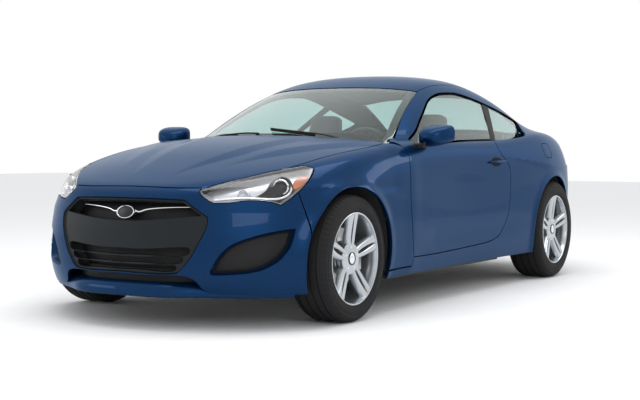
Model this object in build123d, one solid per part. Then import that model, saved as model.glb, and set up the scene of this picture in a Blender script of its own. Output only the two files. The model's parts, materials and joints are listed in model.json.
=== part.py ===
"""Two-door coupe car, built as separate panels, glass, running gear and cabin pieces.

Units are millimetres. X points forward, Y to the car's left, Z up.
The origin is on the ground, under the middle of the car's length.
Every piece on one side is made on the left and mirrored to the right.
"""
from build123d import *
import math
import os

import numpy as np

# ---------------------------------------------------------------- driving dimensions
BODY_LENGTH = 4630.0
WHEELBASE = 2820.0
FRONT_OVERHANG = 820.0
NOSE_X = BODY_LENGTH / 2
FRONT_AXLE_X = NOSE_X - FRONT_OVERHANG
REAR_AXLE_X = FRONT_AXLE_X - WHEELBASE
SHUT_GAP = 6.0            # gap round doors, bonnet and boot lid
JOIN_GAP = 0.3            # gap between fixed panels that meet
PANEL_WALL = 28.0         # depth of a fixed panel with its inner frame
LID_WALL = 26.0           # depth of the bonnet and boot lid
ROOF_WALL = 22.0
DOOR_INNER_Y = 742.0      # inner trim face of a door
GLASS_WALL = 5.0
GLASS_INSET = 7.0         # side glass behind the outer pillar faces

# wheels: tyre radius, tyre width, centre y, rim radius
FRONT_TYRE_R = 330.0
FRONT_TYRE_W = 225.0
FRONT_TRACK_Y = 801.0
REAR_TYRE_R = 339.0
REAR_TYRE_W = 245.0
REAR_TRACK_Y = 807.0
RIM_R = 240.0
ARCH_CLEARANCE = 38.0     # arch edge outside the tyre
LINER_R = 402.0           # inner arch over the steered wheel
LINER_WALL = 8.0


class Curve:
    """Natural cubic spline through (position, value) pairs."""

    def __init__(self, positions, values):
        order = np.argsort(positions)
        self.x = np.array(positions, float)[order]
        self.y = np.array(values, float)[order]
        count = len(self.x)
        step = np.diff(self.x)
        matrix = np.eye(count)
        right = np.zeros(count)
        for i in range(1, count - 1):
            matrix[i, i - 1:i + 2] = step[i - 1], 2 * (step[i - 1] + step[i]), step[i]
            right[i] = 6 * ((self.y[i + 1] - self.y[i]) / step[i] - (self.y[i] - self.y[i - 1]) / step[i - 1])
        self.bend = np.linalg.solve(matrix, right)

    def __call__(self, at):
        at = min(max(float(at), self.x[0]), self.x[-1])
        i = min(max(int(np.searchsorted(self.x, at)) - 1, 0), len(self.x) - 2)
        span = self.x[i + 1] - self.x[i]
        a = (self.x[i + 1] - at) / span
        b = (at - self.x[i]) / span
        cubic = (a**3 - a) * self.bend[i] + (b**3 - b) * self.bend[i + 1]
        return a * self.y[i] + b * self.y[i + 1] + cubic * span * span / 6


def curves(table):
    """One spline per value column of a table whose first column is the position."""
    columns = list(zip(*table))
    return [Curve(columns[0], column) for column in columns[1:]]


# Lower body in plan, one row per height. The half widths are those before the ends taper in.
# height, nose x from the front axle, nose roundness, half width at front wheel, door, rear wheel,
# tail x from the rear axle, tail roundness, start of the nose taper from the front axle
WATERLINES = [
    (140, 695, 2.50, 868, 840, 860, -865, 2.9, -95),
    (220, 760, 2.34, 896, 866, 890, -930, 2.9, -95),
    (320, 780, 2.34, 910, 884, 908, -965, 2.9, -95),
    (450, 785, 2.26, 918, 892, 918, -979, 2.9, -95),
    (580, 775, 2.15, 920, 887, 921, -985, 2.9, -95),
    (700, 755, 2.10, 916, 884, 921, -980, 2.9, -195),
    (800, 720, 2.20, 902, 884, 916, -973, 2.8, -445),
    (880, 675, 2.30, 876, 876, 900, -960, 2.7, -595),
    (950, 605, 2.30, 838, 850, 872, -945, 2.6, -595),
    (1040, 505, 2.30, 780, 796, 825, -915, 2.5, -595),
]
NOSE, NOSE_ROUND, FRONT_HALF, DOOR_HALF, REAR_HALF, TAIL, TAIL_ROUND, NOSE_TAPER = curves(WATERLINES)
NOSE_TAPER.bend[:] = 0                   # straight between its heights
TAIL_TAPER_X = REAR_AXLE_X + 325.0
WAIST_X = 100.0                          # narrowest station of the doors
FRONT_BLEND = 1300.0
REAR_BLEND = 1400.0

# Top of the lower body. x from the front axle, height at the centre, drop at y 400, drop at y 750
TOP_LINES = [
    (815, 520, 20, 60),
    (755, 640, 16, 66),
    (695, 694, 12, 66),
    (615, 728, 10, 62),
    (405, 796, 9, 50),
    (105, 872, 8, 40),
    (-195, 928, 8, 34),
    (-495, 966, 8, 32),
    (-795, 988, 8, 32),
    (-1495, 995, 10, 32),
    (-2395, 1015, 10, 20),
    (-2995, 1045, 8, 24),
    (-3295, 1032, 8, 40),
    (-3595, 1012, 10, 60),
    (-3695, 1005, 12, 75),
    (-3805, 960, 14, 90),
]
TOP_CENTRE, TOP_DROP_400, TOP_DROP_750 = curves(TOP_LINES)

# Roof, windscreen and rear window. x from the front axle, height at the centre, drop at y 500
ROOF_LINES = [
    (-245, 760, 40),
    (-395, 855, 42),
    (-575, 955, 46),
    (-795, 1070, 50),
    (-1095, 1210, 50),
    (-1365, 1312, 50),
    (-1595, 1368, 48),
    (-1795, 1385, 47),
    (-2045, 1382, 48),
    (-2295, 1352, 50),
    (-2595, 1282, 52),
    (-2895, 1180, 54),
    (-3175, 1060, 54),
    (-3395, 950, 54),
]
ROOF_CENTRE, ROOF_DROP_500 = curves(ROOF_LINES)

# Side glass. x from the front axle, half width at the belt height, lean inwards per mm of height
BELT_Z = 950.0
GLASS_LINES = [
    (-495, 700, 0.62),
    (-795, 752, 0.64),
    (-1195, 792, 0.66),
    (-1495, 806, 0.67),
    (-1895, 812, 0.67),
    (-2295, 800, 0.66),
    (-2695, 760, 0.62),
    (-3095, 690, 0.58),
    (-3495, 600, 0.55),
]
GLASS_HALF, GLASS_LEAN = curves(GLASS_LINES)
GLASS_BOW = 0.00012                      # extra lean per mm of height squared


def ease(t):
    """Smooth step from 0 to 1."""
    t = min(max(t, 0.0), 1.0)
    return t * t * (3 - 2 * t)


def flat_half(x, z):
    """Half width of the lower body before its ends taper in."""
    door = DOOR_HALF(z)
    front = (FRONT_HALF(z) - door) * ease((x - WAIST_X) / FRONT_BLEND)
    rear = (REAR_HALF(z) - door) * ease((WAIST_X - x) / REAR_BLEND)
    return door + front + rear


def side_y(x, z):
    """Half width of the lower body."""
    ahead = (x - FRONT_AXLE_X - NOSE_TAPER(z)) / (NOSE(z) - NOSE_TAPER(z))
    behind = (TAIL_TAPER_X - x) / (TAIL_TAPER_X - REAR_AXLE_X - TAIL(z))
    n, m = NOSE_ROUND(z), TAIL_ROUND(z)
    ahead = min(max(ahead, 0.0), 1.0)
    behind = min(max(behind, 0.0), 1.0)
    return flat_half(x, z) * (1 - ahead**n) ** (1 / n) * (1 - behind**m) ** (1 / m)


def top_z(x, y):
    """Height of the lower body's top."""
    at = x - FRONT_AXLE_X
    near, far = TOP_DROP_400(at), TOP_DROP_750(at)
    fourth = (far / 750.0**2 - near / 400.0**2) / (750.0**2 - 400.0**2)
    second = near / 400.0**2 - fourth * 400.0**2
    return TOP_CENTRE(at) - second * y**2 - fourth * y**4


def roof_z(x, y):
    """Height of the roof and of both big windows."""
    at = x - FRONT_AXLE_X
    k = y / 500.0
    return ROOF_CENTRE(at) - ROOF_DROP_500(at) * (0.6 * k**2 + 0.4 * k**4)


def glass_y(x, z):
    """Half width over the side glass."""
    at = x - FRONT_AXLE_X
    up = z - BELT_Z
    return GLASS_HALF(at) - GLASS_LEAN(at) * up - GLASS_BOW * up * up


# ---------------------------------------------------------------- solid helpers
def steps(low, high, pitch):
    """Evenly spaced values from low to high, about a pitch apart."""
    count = max(3, int(round(abs(high - low) / pitch)) + 1)
    return [low + (high - low) * i / (count - 1) for i in range(count)]


def skin_prism(point, us, vs, push):
    """Solid between the smooth skin through point(u, v) and its copy moved by push."""
    grid = [[Vector(*point(u, v)) for v in vs] for u in us]
    skin = Face.make_surface_from_array_of_points(grid, tol=0.5, min_deg=3, max_deg=5)
    return Solid.extrude(skin, Vector(*push))


def side_prism(x0, x1, z0, z1, depth, inset=0.0):
    """Lower body side, pushed inwards by depth."""
    return skin_prism(lambda x, z: (x, side_y(x, z) - inset, z), steps(x0, x1, 160), steps(z0, z1, 100), (0, -depth, 0))


def top_prism(x0, x1, half, depth, inset=0.0):
    """Lower body top, pushed down by depth."""
    return skin_prism(lambda x, y: (x, y, top_z(x, y) - inset), steps(x0, x1, 160), steps(-half, half, 200), (0, 0, -depth))


def roof_prism(x0, x1, half, depth, inset=0.0):
    """Roof and big windows, pushed down by depth."""
    return skin_prism(lambda x, y: (x, y, roof_z(x, y) - inset), steps(x0, x1, 160), steps(-half, half, 200), (0, 0, -depth))


def glass_prism(x0, x1, z0, z1, depth, inset=0.0):
    """Side glass, pushed inwards by depth."""
    return skin_prism(lambda x, z: (x, glass_y(x, z) - inset, z), steps(x0, x1, 160), steps(z0, z1, 90), (0, -depth, 0))


def end_block(front, x_cut, z0, z1, inset=0.0):
    """Nose or tail of the lower body as a full-width block from x_cut to the tip."""
    sections = []
    for z in steps(z0, z1, 85):
        tip = (FRONT_AXLE_X + NOSE(z) - inset) if front else (REAR_AXLE_X + TAIL(z) + inset)
        taper = (FRONT_AXLE_X + NOSE_TAPER(z)) if front else TAIL_TAPER_X
        n = NOSE_ROUND(z) if front else TAIL_ROUND(z)
        half = []
        for i in range(9):
            turn = math.radians(90 * i / 8)
            share = (x_cut - taper) / (tip - taper)
            start = math.acos(min(1.0, share ** (n / 2)))
            angle = turn / (math.pi / 2) * start
            x = taper + (tip - taper) * math.cos(angle) ** (2 / n)
            half.append((x, (flat_half(x, z) - inset) * math.sin(angle) ** (2 / n)))
        points = [(x, -y, z) for x, y in reversed(half[1:])] + [(x, y, z) for x, y in half]
        bow = Edge.make_spline([Vector(*p) for p in points])
        back = Edge.make_line(Vector(*points[-1]), Vector(*points[0]))
        sections.append(Wire([bow, back]))
    return Solid.make_loft(sections)


def outline(points, radius=0.0):
    """Closed 2D outline as a face, its corners rounded."""
    face = make_face(Polyline(*points, close=True).edges())
    if radius:
        face = fillet(face.vertices(), radius)
    return face


def side_outline(points, y0, y1, radius=0.0):
    """Prism between y0 and y1 of an outline given in x and z."""
    face = Plane.XZ * outline(points, radius)
    return extrude(face, amount=-(y1 - y0), dir=(0, -1, 0)).moved(Location((0, y0, 0)))


def block(x0, x1, y0, y1, z0, z1):
    """Box between two corners."""
    return Pos((x0 + x1) / 2, (y0 + y1) / 2, (z0 + z1) / 2) * Box(abs(x1 - x0), abs(y1 - y0), abs(z1 - z0))


def mirror_points(half):
    """Whole outline from its left half, listed from the front centre to the rear centre."""
    return list(half) + [(x, -y) for x, y in reversed(half) if y > 0]


def rod_y(x, z, y0, y1, radius):
    """Cylinder across the car."""
    return Pos(x, (y0 + y1) / 2, z) * Rot(90, 0, 0) * Cylinder(radius, abs(y1 - y0))


def right_of(part):
    """The same piece on the other side of the car."""
    return mirror(part, about=Plane.XZ)


# ---------------------------------------------------------------- shut lines and outlines
SILL_TOP_Z = 290.0
DOOR_FRONT_X = 880.0
DOOR_REAR_X = -556.0
POST_FRONT_X = DOOR_FRONT_X + 12.0       # pillar that carries the door hinges
POST_INNER_Y = 800.0
FENDER_FRONT_X = FRONT_AXLE_X + 345.0
BELT_EDGE_Z = 1000.0                     # above every shoulder, so that outlines reach past the skin
HOOD_REAR_X = 955.0
LID_FRONT_X = -1712.0
LID_HALF = 560.0
LID_LOW_Z = 770.0

# x, z round the door below the belt
DOOR_OUTLINE = [
    (852, BELT_EDGE_Z), (864, 880), (DOOR_FRONT_X, 740), (DOOR_FRONT_X + 4, 620), (866, 480), (848, 370),
    (818, SILL_TOP_Z), (-61, SILL_TOP_Z + 14), (-323, 324), (-440, 375), (-515, 480), (DOOR_REAR_X, 645),
    (DOOR_REAR_X, 780), (-490, 850), (-425, 890), (-420, BELT_EDGE_Z),
]
# x, z round the door glass, from the mirror corner over the roof rail to the pillar behind the door
DOOR_GLASS_OUTLINE = [
    (840, 880), (274, 1128), (45, 1222), (-168, 1265), (-397, 1272), (-700, 1240), (-440, 880),
]
QUARTER_GLASS_OUTLINE = [
    (-560, 940), (-746, 1232), (-911, 1204), (-1170, 1132), (-1215, 1098), (-1130, 1040), (-980, 985),
]
# x, y round the left half of each top opening, front first
HOOD_OUTLINE = [
    (2172, 0), (2164, 290), (2128, 424), (1953, 563), (1779, 657), (1684, 690), (1517, 716),
    (1310, 763), (1130, 790), (HOOD_REAR_X + 25, 790), (HOOD_REAR_X, 560), (HOOD_REAR_X, 0),
]
WINDSCREEN_OUTLINE = [(1000, 0), (1000, 745), (700, 700), (480, 630), (105, 545), (180, 330), (205, 0)]
ROOF_OUTLINE = [(199, 0), (174, 330), (96, 538), (-300, 528), (-700, 520), (-1040, 520), (-1060, 0)]
REAR_WINDOW_OUTLINE = [(-1066, 0), (-1046, 515), (-1400, 560), (-1690, 590), (-1704, 590), (-1704, 0)]
LID_OUTLINE = [(LID_FRONT_X, 0), (LID_FRONT_X, LID_HALF), (-2400, LID_HALF), (-2400, 0)]
# y, z round the left lamps, grille half and fog recess
HEADLAMP_OUTLINE = [
    (390, 680), (424, 703), (600, 770), (727, 808), (773, 796), (785, 767), (787, 704), (765, 656),
    (736, 615), (696, 633), (624, 640), (549, 631), (483, 627), (441, 649),
]
GRILLE_OUTLINE = [
    (0, 646), (346, 640), (466, 556), (464, 508), (427, 420), (394, 360), (338, 291), (318, 283), (0, 281),
]
GRILLE_FRAME = 24.0
# low z, high z of the grille's openings between its slats
GRILLE_SLOTS = [(300, 322), (334, 357), (369, 393), (572, 612)]
FOG_OUTLINE = [
    (486, 289), (509, 341), (542, 390), (582, 427), (629, 451), (682, 472), (724, 485), (763, 494), (798, 502),
    (789, 442), (775, 394), (753, 351), (719, 315), (684, 299), (619, 284), (550, 283), (498, 284),
]
TAIL_LAMP_OUTLINE = [(560, 800), (560, 925), (850, 925), (1000, 900), (1000, 790), (850, 790)]

TAIL_MID_X = REAR_AXLE_X - 535.0
TAIL_LAMP_X = REAR_AXLE_X - 375.0


def grown(points, amount):
    """Outline moved outwards by amount, inwards when negative."""
    face = outline(points)
    return offset(face, amount=amount, kind=Kind.INTERSECTION) if amount else face


def side_region(points, grow=0.0, y0=300.0, y1=1100.0):
    """Prism across the left side of an outline in x and z."""
    face = Plane.XZ * grown(points, grow)
    return extrude(face, amount=y1 - y0, dir=(0, 1, 0)).moved(Location((0, y0, 0)))


def plan_region(half, grow=0.0, z0=0.0, z1=1500.0):
    """Upright prism of a mirrored outline in x and y."""
    return extrude(grown(mirror_points(half), grow), amount=z1 - z0).moved(Location((0, 0, z0)))


def front_region(points, grow=0.0, x0=1650.0, x1=2400.0):
    """Prism along the car of an outline in y and z."""
    face = Plane.YZ * grown(points, grow)
    return extrude(face, amount=x1 - x0, dir=(1, 0, 0)).moved(Location((x0, 0, 0)))


def arch(axle_x, tyre_r, extra=0.0):
    """Cylinder that cuts a wheel arch on the left."""
    radius = tyre_r + ARCH_CLEARANCE + extra
    low = block(axle_x - radius, axle_x + radius, 480, 1100, -100, tyre_r - 120)
    return rod_y(axle_x, tyre_r, 480, 1100, radius) + low


def flank(x0, x1, z0, wall=PANEL_WALL, y_min=0.0):
    """Hollow left side and shoulder of the lower body."""
    outer = side_prism(x0, x1, z0, 1045, 600) & top_prism(x0 - 20, x1 + 20, 960, 900)
    core = side_prism(x0 - 10, x1 + 10, z0 - 10, 1055, 620, wall)
    core = core & top_prism(x0 - 30, x1 + 30, 960, 920, wall)
    skin = outer - core
    if y_min:
        skin = skin & block(x0 - 5, x1 + 5, y_min, 1100, 0, 1200)
    return skin


def end_shell(front, x_cut, z0, z1, wall=PANEL_WALL):
    """Hollow nose or tail of the lower body."""
    far = 2330 if front else -2330
    low, high = min(x_cut, far), max(x_cut, far)
    outer = end_block(front, x_cut, z0, z1) & top_prism(low - 20, high, 960, 900)
    back = x_cut - 10 if front else x_cut + 10
    core = end_block(front, back, z0 - 10, z1 + 10, wall) & top_prism(low - 30, high, 960, 920, wall)
    return outer - core


def biggest(shape, count=1):
    """The largest solids of a shape, without the slivers of a cut."""
    solids = sorted(shape.solids(), key=lambda s: s.volume, reverse=True)[:count]
    return solids[0] if count == 1 else Compound(children=solids)


nodes = {}


def both_sides(name, part):
    """Keep a left piece and its mirrored right twin as two nodes."""
    nodes[name + "_left"] = part
    nodes[name + "_right"] = right_of(part)


def pair(part):
    """A left piece and its mirrored right twin as one shape."""
    return Compound(children=[*part.solids(), *right_of(part).solids()])


# ---------------------------------------------------------------- outer body
front_arch = arch(FRONT_AXLE_X, FRONT_TYRE_R)
rear_arch = arch(REAR_AXLE_X, REAR_TYRE_R)
fender_end_x = FENDER_FRONT_X - JOIN_GAP / 2

# front fender, behind the bumper and in front of the door
fender = flank(FRONT_AXLE_X - 700, fender_end_x, 240, y_min=600)
fender = fender - side_region(DOOR_OUTLINE, SHUT_GAP) - plan_region(HOOD_OUTLINE, SHUT_GAP) - front_arch
fender = fender - block(700, HOOD_REAR_X + 30, 0, 760, 850, 1100) - front_region(HEADLAMP_OUTLINE, JOIN_GAP)
fender = fender - block(700, 845, 0, 1100, 0, 1200)
both_sides("fender", biggest(fender))

# side of the body: rocker, pillars, roof rail and rear quarter
top_low = top_prism(-2330, 2330, 960, 900, -JOIN_GAP)
glass_outer = glass_prism(-1850, 960, 850, 1345, 700)
glass_core = glass_prism(-1860, 970, 840, 1355, 720, PANEL_WALL)
roof_outer = roof_prism(-1850, 960, 900, 500)
roof_core = roof_prism(-1860, 970, 900, 520, PANEL_WALL)
cabin_outer = glass_outer & roof_outer
cabin_core = glass_core & roof_core
cabin_shell = (cabin_outer - cabin_core) & block(-1850, 960, 0, 1000, 860, 1400)
cabin_side = cabin_shell - plan_region(WINDSCREEN_OUTLINE, JOIN_GAP) - plan_region(ROOF_OUTLINE, JOIN_GAP)
cabin_side = cabin_side - plan_region(REAR_WINDOW_OUTLINE, JOIN_GAP)
cabin_side = cabin_side - side_region(DOOR_GLASS_OUTLINE, SHUT_GAP) - side_region(QUARTER_GLASS_OUTLINE, JOIN_GAP)

quarter_end_x = TAIL_MID_X
body_side = flank(quarter_end_x, FRONT_AXLE_X - 345, 190, y_min=560)
rocker_face = side_prism(-960, FRONT_AXLE_X - 340, 190, 300, 600)
rocker = rocker_face & block(REAR_AXLE_X + 340, FRONT_AXLE_X - 345, 800, 1100, 190, 300)
body_side = body_side + rocker + cabin_side
body_side = body_side - side_region(DOOR_OUTLINE, SHUT_GAP) - rear_arch - front_arch
body_side = body_side - block(845, 1300, 0, 1100, 240 - JOIN_GAP, 1200)
body_side = body_side - plan_region(LID_OUTLINE, SHUT_GAP) - block(-1730, -1690, 0, 575, 850, 1100)
hinge_post = block(POST_FRONT_X, POST_FRONT_X + 60, POST_INNER_Y, 852, 198, 860)
latch_post = block(DOOR_REAR_X - 84, DOOR_REAR_X - 22, POST_INNER_Y, 852, 300, 900)
body_side = body_side - front_region(TAIL_LAMP_OUTLINE, JOIN_GAP, -2400, TAIL_LAMP_X + JOIN_GAP)
body_side = body_side + hinge_post + latch_post
both_sides("body_side", biggest(body_side))

nodes["roof"] = biggest((roof_outer - roof_prism(-1860, 970, 900, 520, ROOF_WALL)) & plan_region(ROOF_OUTLINE))
screen_shell = (roof_outer - roof_prism(-1860, 970, 900, 520, GLASS_WALL)) & block(-1850, 960, -900, 900, 850, 1400)
screen_shell = screen_shell - top_low
nodes["windscreen"] = biggest(screen_shell & plan_region(WINDSCREEN_OUTLINE))
nodes["rear_window"] = biggest(screen_shell & plan_region(REAR_WINDOW_OUTLINE))
side_glass = glass_prism(-1850, 960, 850, 1345, GLASS_WALL, GLASS_INSET) & roof_prism(-1850, 960, 900, 500, GLASS_INSET)
side_glass = side_glass - top_low
quarter_pane = side_glass & side_region(QUARTER_GLASS_OUTLINE, -0.4)
quarter_pane = biggest(quarter_pane - nodes["body_side_left"].moved(Location((0, 0, JOIN_GAP))))
nodes["quarter_glass"] = pair(quarter_pane)

# doors
door = side_prism(-580, 900, 270, 1045, 400) & top_prism(-600, 920, 960, 900)
door = door & side_region(DOOR_OUTLINE) & block(-600, 920, DOOR_INNER_Y, 1100, 200, 1100)
HINGE_X = DOOR_FRONT_X - 50
HINGE_Y = side_y(HINGE_X, 620) - 12
HINGE_HEIGHTS = (430.0, 720.0)
HINGE_HALF = 30.0
PIN_R = 6.0
PIN_PLAY = 0.1
brackets = []
for height in HINGE_HEIGHTS:
    notch = block(HINGE_X - 26, DOOR_FRONT_X + 60, DOOR_INNER_Y - 10, HINGE_Y + 4, height - HINGE_HALF, height + HINGE_HALF)
    bore = Pos(HINGE_X, HINGE_Y, height) * Cylinder(PIN_R + PIN_PLAY, 2 * HINGE_HALF + 30)
    door = door - notch - bore - (Pos(HINGE_X, HINGE_Y, height) * Cylinder(PIN_R + 5, 2 * HINGE_HALF))
    pin = Pos(HINGE_X, HINGE_Y, height) * Cylinder(PIN_R, 2 * HINGE_HALF + 24)
    arm = block(HINGE_X - PIN_R, HINGE_X + PIN_R, POST_INNER_Y, HINGE_Y, height - 22, height + 22)
    strap = block(HINGE_X - PIN_R, POST_FRONT_X, POST_INNER_Y, POST_INNER_Y + 12, height - 22, height + 22)
    brackets.append(pin + arm + strap)
armrest = block(-330, 420, DOOR_INNER_Y - 50, DOOR_INNER_Y + 5, 590, 640)
armrest = fillet(armrest.edges().filter_by(Axis.X), 12)
door = biggest(door) + armrest
HANDLE_X0, HANDLE_X1 = -455.0, -245.0
HANDLE_Z = 818.0
HANDLE_Y = side_y(-350, HANDLE_Z) + 14
grip = block(HANDLE_X0, HANDLE_X1, HANDLE_Y, HANDLE_Y + 17, HANDLE_Z - 13, HANDLE_Z + 13)
grip = fillet(grip.edges(), 7)
for foot_x in (HANDLE_X0 + 14, HANDLE_X1 - 14):
    grip = grip + block(foot_x - 10, foot_x + 10, HANDLE_Y - 24, HANDLE_Y + 8, HANDLE_Z - 9, HANDLE_Z + 9)
door_left = biggest(door + grip)
both_sides("door", door_left)
nodes["door_hinges"] = Compound(children=[
    *[s for b in brackets for s in b.solids()], *[s for b in brackets for s in right_of(b).solids()]])
both_sides("door_glass", biggest(side_glass & side_region(DOOR_GLASS_OUTLINE)))
mirror_shell = Pos(690, 935, 968) * Rot(0, 0, -14) * Box(110, 190, 118)
mirror_shell = fillet(mirror_shell.edges(), 40)
mirror_foot = block(660, 740, 820, 900, 890, 950)
both_sides("mirror", biggest(mirror_shell + mirror_foot - top_low - door_left))

# bonnet and boot lid
hood = top_prism(900, 2200, 960, 900) & plan_region(HOOD_OUTLINE)
hood = hood - top_prism(890, 2210, 960, 920, LID_WALL)
nodes["hood"] = biggest(hood)
tail_outer = end_block(False, LID_FRONT_X + 30, 300, 1060) & top_prism(-2340, LID_FRONT_X + 60, 960, 900)
tail_core = end_block(False, LID_FRONT_X + 40, 290, 1070, LID_WALL) & top_prism(-2350, LID_FRONT_X + 70, 960, 920, LID_WALL)
lid = (tail_outer - tail_core) & plan_region(LID_OUTLINE) & block(-2400, -1600, -700, 700, LID_LOW_Z, 1200)
nodes["trunk_lid"] = biggest(lid)

# bumpers
bumper = end_shell(True, FENDER_FRONT_X + JOIN_GAP / 2, 165, 760)
bumper = bumper - plan_region(HOOD_OUTLINE, SHUT_GAP, 600) - front_arch - right_of(front_arch)
lip_half = [(NOSE_X, 0), (NOSE_X - 10, 120), (2268, 270), (2175, 420), (2045, 610), (FENDER_FRONT_X + 2, 800)]
lip_inner = [(FENDER_FRONT_X + 2, 690), (2080, 300), (2150, 0)]
lip = extrude(outline(mirror_points(lip_half + lip_inner)), amount=22).moved(Location((0, 0, 165)))
grille_points = GRILLE_OUTLINE + [(-y, z) for y, z in reversed(GRILLE_OUTLINE) if y > 0]
grille_hole = front_region(grille_points, 0, 1900)
fog_hole = front_region(FOG_OUTLINE)
lamp_hole = front_region(HEADLAMP_OUTLINE)
bumper = bumper + lip - front_region(grille_points, JOIN_GAP, 1900)
for part in (front_region(FOG_OUTLINE, JOIN_GAP), front_region(HEADLAMP_OUTLINE, JOIN_GAP)):
    bumper = bumper - part - right_of(part)
nodes["front_bumper"] = biggest(bumper)
recess = end_block(True, 1900, 260, 680, 16) - end_block(True, 1890, 250, 690, 30)
grille = recess & grille_hole
window = front_region(grille_points, -GRILLE_FRAME, 1900)
for low_z, high_z in GRILLE_SLOTS:
    grille = grille - (window & block(1900, 2400, -600, 600, low_z, high_z))
nodes["grille"] = biggest(grille)
fog_panel = end_block(True, 1690, 260, 520, 16) - end_block(True, 1680, 250, 530, 30)
fog_panel = (fog_panel & fog_hole) - rod_y(FRONT_AXLE_X, FRONT_TYRE_R, 480, 1100, LINER_R + LINER_WALL + 2)
nodes["fog_panels"] = pair(biggest(fog_panel))
lamp_outer = end_block(True, 1600, 560, 860, 2) & top_prism(1580, 2330, 960, 900, 2)
lamp_inner = end_block(True, 1590, 550, 870, 80) & top_prism(1570, 2330, 960, 920, 80)
headlamp = ((lamp_outer - lamp_inner) & lamp_hole) - plan_region(HOOD_OUTLINE, SHUT_GAP, 500)
headlamp = biggest(headlamp - rod_y(FRONT_AXLE_X, FRONT_TYRE_R, 480, 1100, LINER_R + LINER_WALL + 2))
nodes["headlamps"] = pair(headlamp)

TIP_X, TIP_Y, TIP_Z = -2170.0, 460.0, 262.0
TIP_R = 38.0              # exhaust tips
rear_bumper = end_shell(False, TAIL_MID_X - JOIN_GAP / 2, 190, LID_LOW_Z + 15)
rear_bumper = rear_bumper - block(-2400, -1600, -LID_HALF - 6, LID_HALF + 6, LID_LOW_Z - SHUT_GAP, 1200)
for side in (1, -1):
    rear_bumper = rear_bumper - Pos(TIP_X, side * TIP_Y, TIP_Z) * Rot(0, 90, 0) * Cylinder(TIP_R + 12, 500)
nodes["rear_bumper"] = biggest(rear_bumper)
tail_hole = front_region(TAIL_LAMP_OUTLINE, 0, -2400, -1650)
tail_shell = tail_outer - (end_block(False, -1600, 290, 1070, 60) & top_prism(-2350, -1580, 960, 920, 60))
nodes["tail_lamps"] = pair(biggest(tail_shell & tail_hole & block(-2400, TAIL_LAMP_X, LID_HALF + SHUT_GAP, 1000, 785, 930)))

# tail corners, between the boot lid, the quarter panel and the bumper
tail_corner = tail_shell - plan_region(LID_OUTLINE, SHUT_GAP) - tail_hole - block(-2400, -1600, 0, 1100, 0, 785 + JOIN_GAP)
tail_corner = tail_corner & block(-2400, TAIL_MID_X - JOIN_GAP, 500, 1100, 700, 1100)
both_sides("tail_corner", biggest(tail_corner))


# ---------------------------------------------------------------- floor, frame and bay
FLOOR_Z = 175.0
FLOOR_WALL = 22.0
REAR_FLOOR_Z = 365.0
KICK_X = -560.0                           # step up under the rear seat
FIREWALL_X = 965.0
TUNNEL_HALF = 150.0
TUNNEL_TOP_Z = 400.0
SILL_INNER_Y = 800.0 - JOIN_GAP
WELL_R = REAR_TYRE_R + 50.0
WELL_INNER_Y = 640.0
WALL = 8.0

floor_half = SILL_INNER_Y
floor = block(KICK_X, FIREWALL_X, -floor_half, floor_half, FLOOR_Z, FLOOR_Z + FLOOR_WALL)
floor = floor + block(KICK_X - FLOOR_WALL, KICK_X, -floor_half, floor_half, FLOOR_Z, REAR_FLOOR_Z + FLOOR_WALL)
rear_floor_x = REAR_AXLE_X + WELL_R + WALL
floor = floor + block(rear_floor_x, KICK_X, -floor_half, floor_half, REAR_FLOOR_Z, REAR_FLOOR_Z + FLOOR_WALL)
floor = floor + block(-1730, rear_floor_x, -WELL_INNER_Y, WELL_INNER_Y, REAR_FLOOR_Z, REAR_FLOOR_Z + FLOOR_WALL)
floor = floor + block(-2080, -1730, -590, 590, REAR_FLOOR_Z, REAR_FLOOR_Z + FLOOR_WALL)
floor = floor - block(KICK_X - 60, FIREWALL_X + 1, -TUNNEL_HALF + WALL, TUNNEL_HALF - WALL, 100, TUNNEL_TOP_Z - WALL)
tunnel = block(KICK_X - FLOOR_WALL, FIREWALL_X, -TUNNEL_HALF, TUNNEL_HALF, FLOOR_Z, TUNNEL_TOP_Z)
tunnel = tunnel - block(KICK_X - 60, FIREWALL_X + 1, -TUNNEL_HALF + WALL, TUNNEL_HALF - WALL, 100, TUNNEL_TOP_Z - WALL)
firewall = block(FIREWALL_X, FIREWALL_X + WALL, -750, 750, FLOOR_Z, 890)
firewall = firewall - block(900, 1000, -TUNNEL_HALF + WALL, TUNNEL_HALF - WALL, 100, TUNNEL_TOP_Z - WALL)
well = rod_y(REAR_AXLE_X, REAR_TYRE_R, WELL_INNER_Y, 868, WELL_R + WALL)
well = well - rod_y(REAR_AXLE_X, REAR_TYRE_R, WELL_INNER_Y + WALL, 900, WELL_R)
well = well & side_prism(-1800, -850, REAR_TYRE_R - 37, 1000, 500, PANEL_WALL + 6)
well = well - rod_y(REAR_AXLE_X, REAR_TYRE_R, 600, 700, 75)
BEAM_HALF = 560.0         # beam that carries the boot lid's pivots
shelf = block(-1640, -1180, -600, 600, 925, 940)
pan = floor + tunnel + firewall + well + right_of(well)
back_wall = block(-1180, -1165, -600, 600, REAR_FLOOR_Z + FLOOR_WALL, 940)
deck = roof_prism(-1790, -1560, 900, 500, GLASS_WALL + JOIN_GAP) - roof_prism(-1800, -1550, 900, 520, GLASS_WALL + 16)
deck = deck & block(-1720, -1600, -575, 575, 920, 1060)
beam = block(-1745, -1600, -BEAM_HALF, BEAM_HALF, 920, 940)
pan = pan + shelf + back_wall + (deck - top_low) + beam
nodes["floor_pan"] = biggest(pan)

RAIL_Y = 455.0
RAIL_HALF = 32.0
TOWER_TOP_Z = 800.0
TOWER_WALL = 24.0
# steering axis: lower ball joint, and the lean of the strut towards the middle of the car
KING_Y = 745.0
KING_Z = 200.0
KING_LEAN = 13.6
KING_PIN_R = 12.0
PLAY = 0.1                                # radial play of pins and spindles
SPINDLE_R = 15.0


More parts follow.
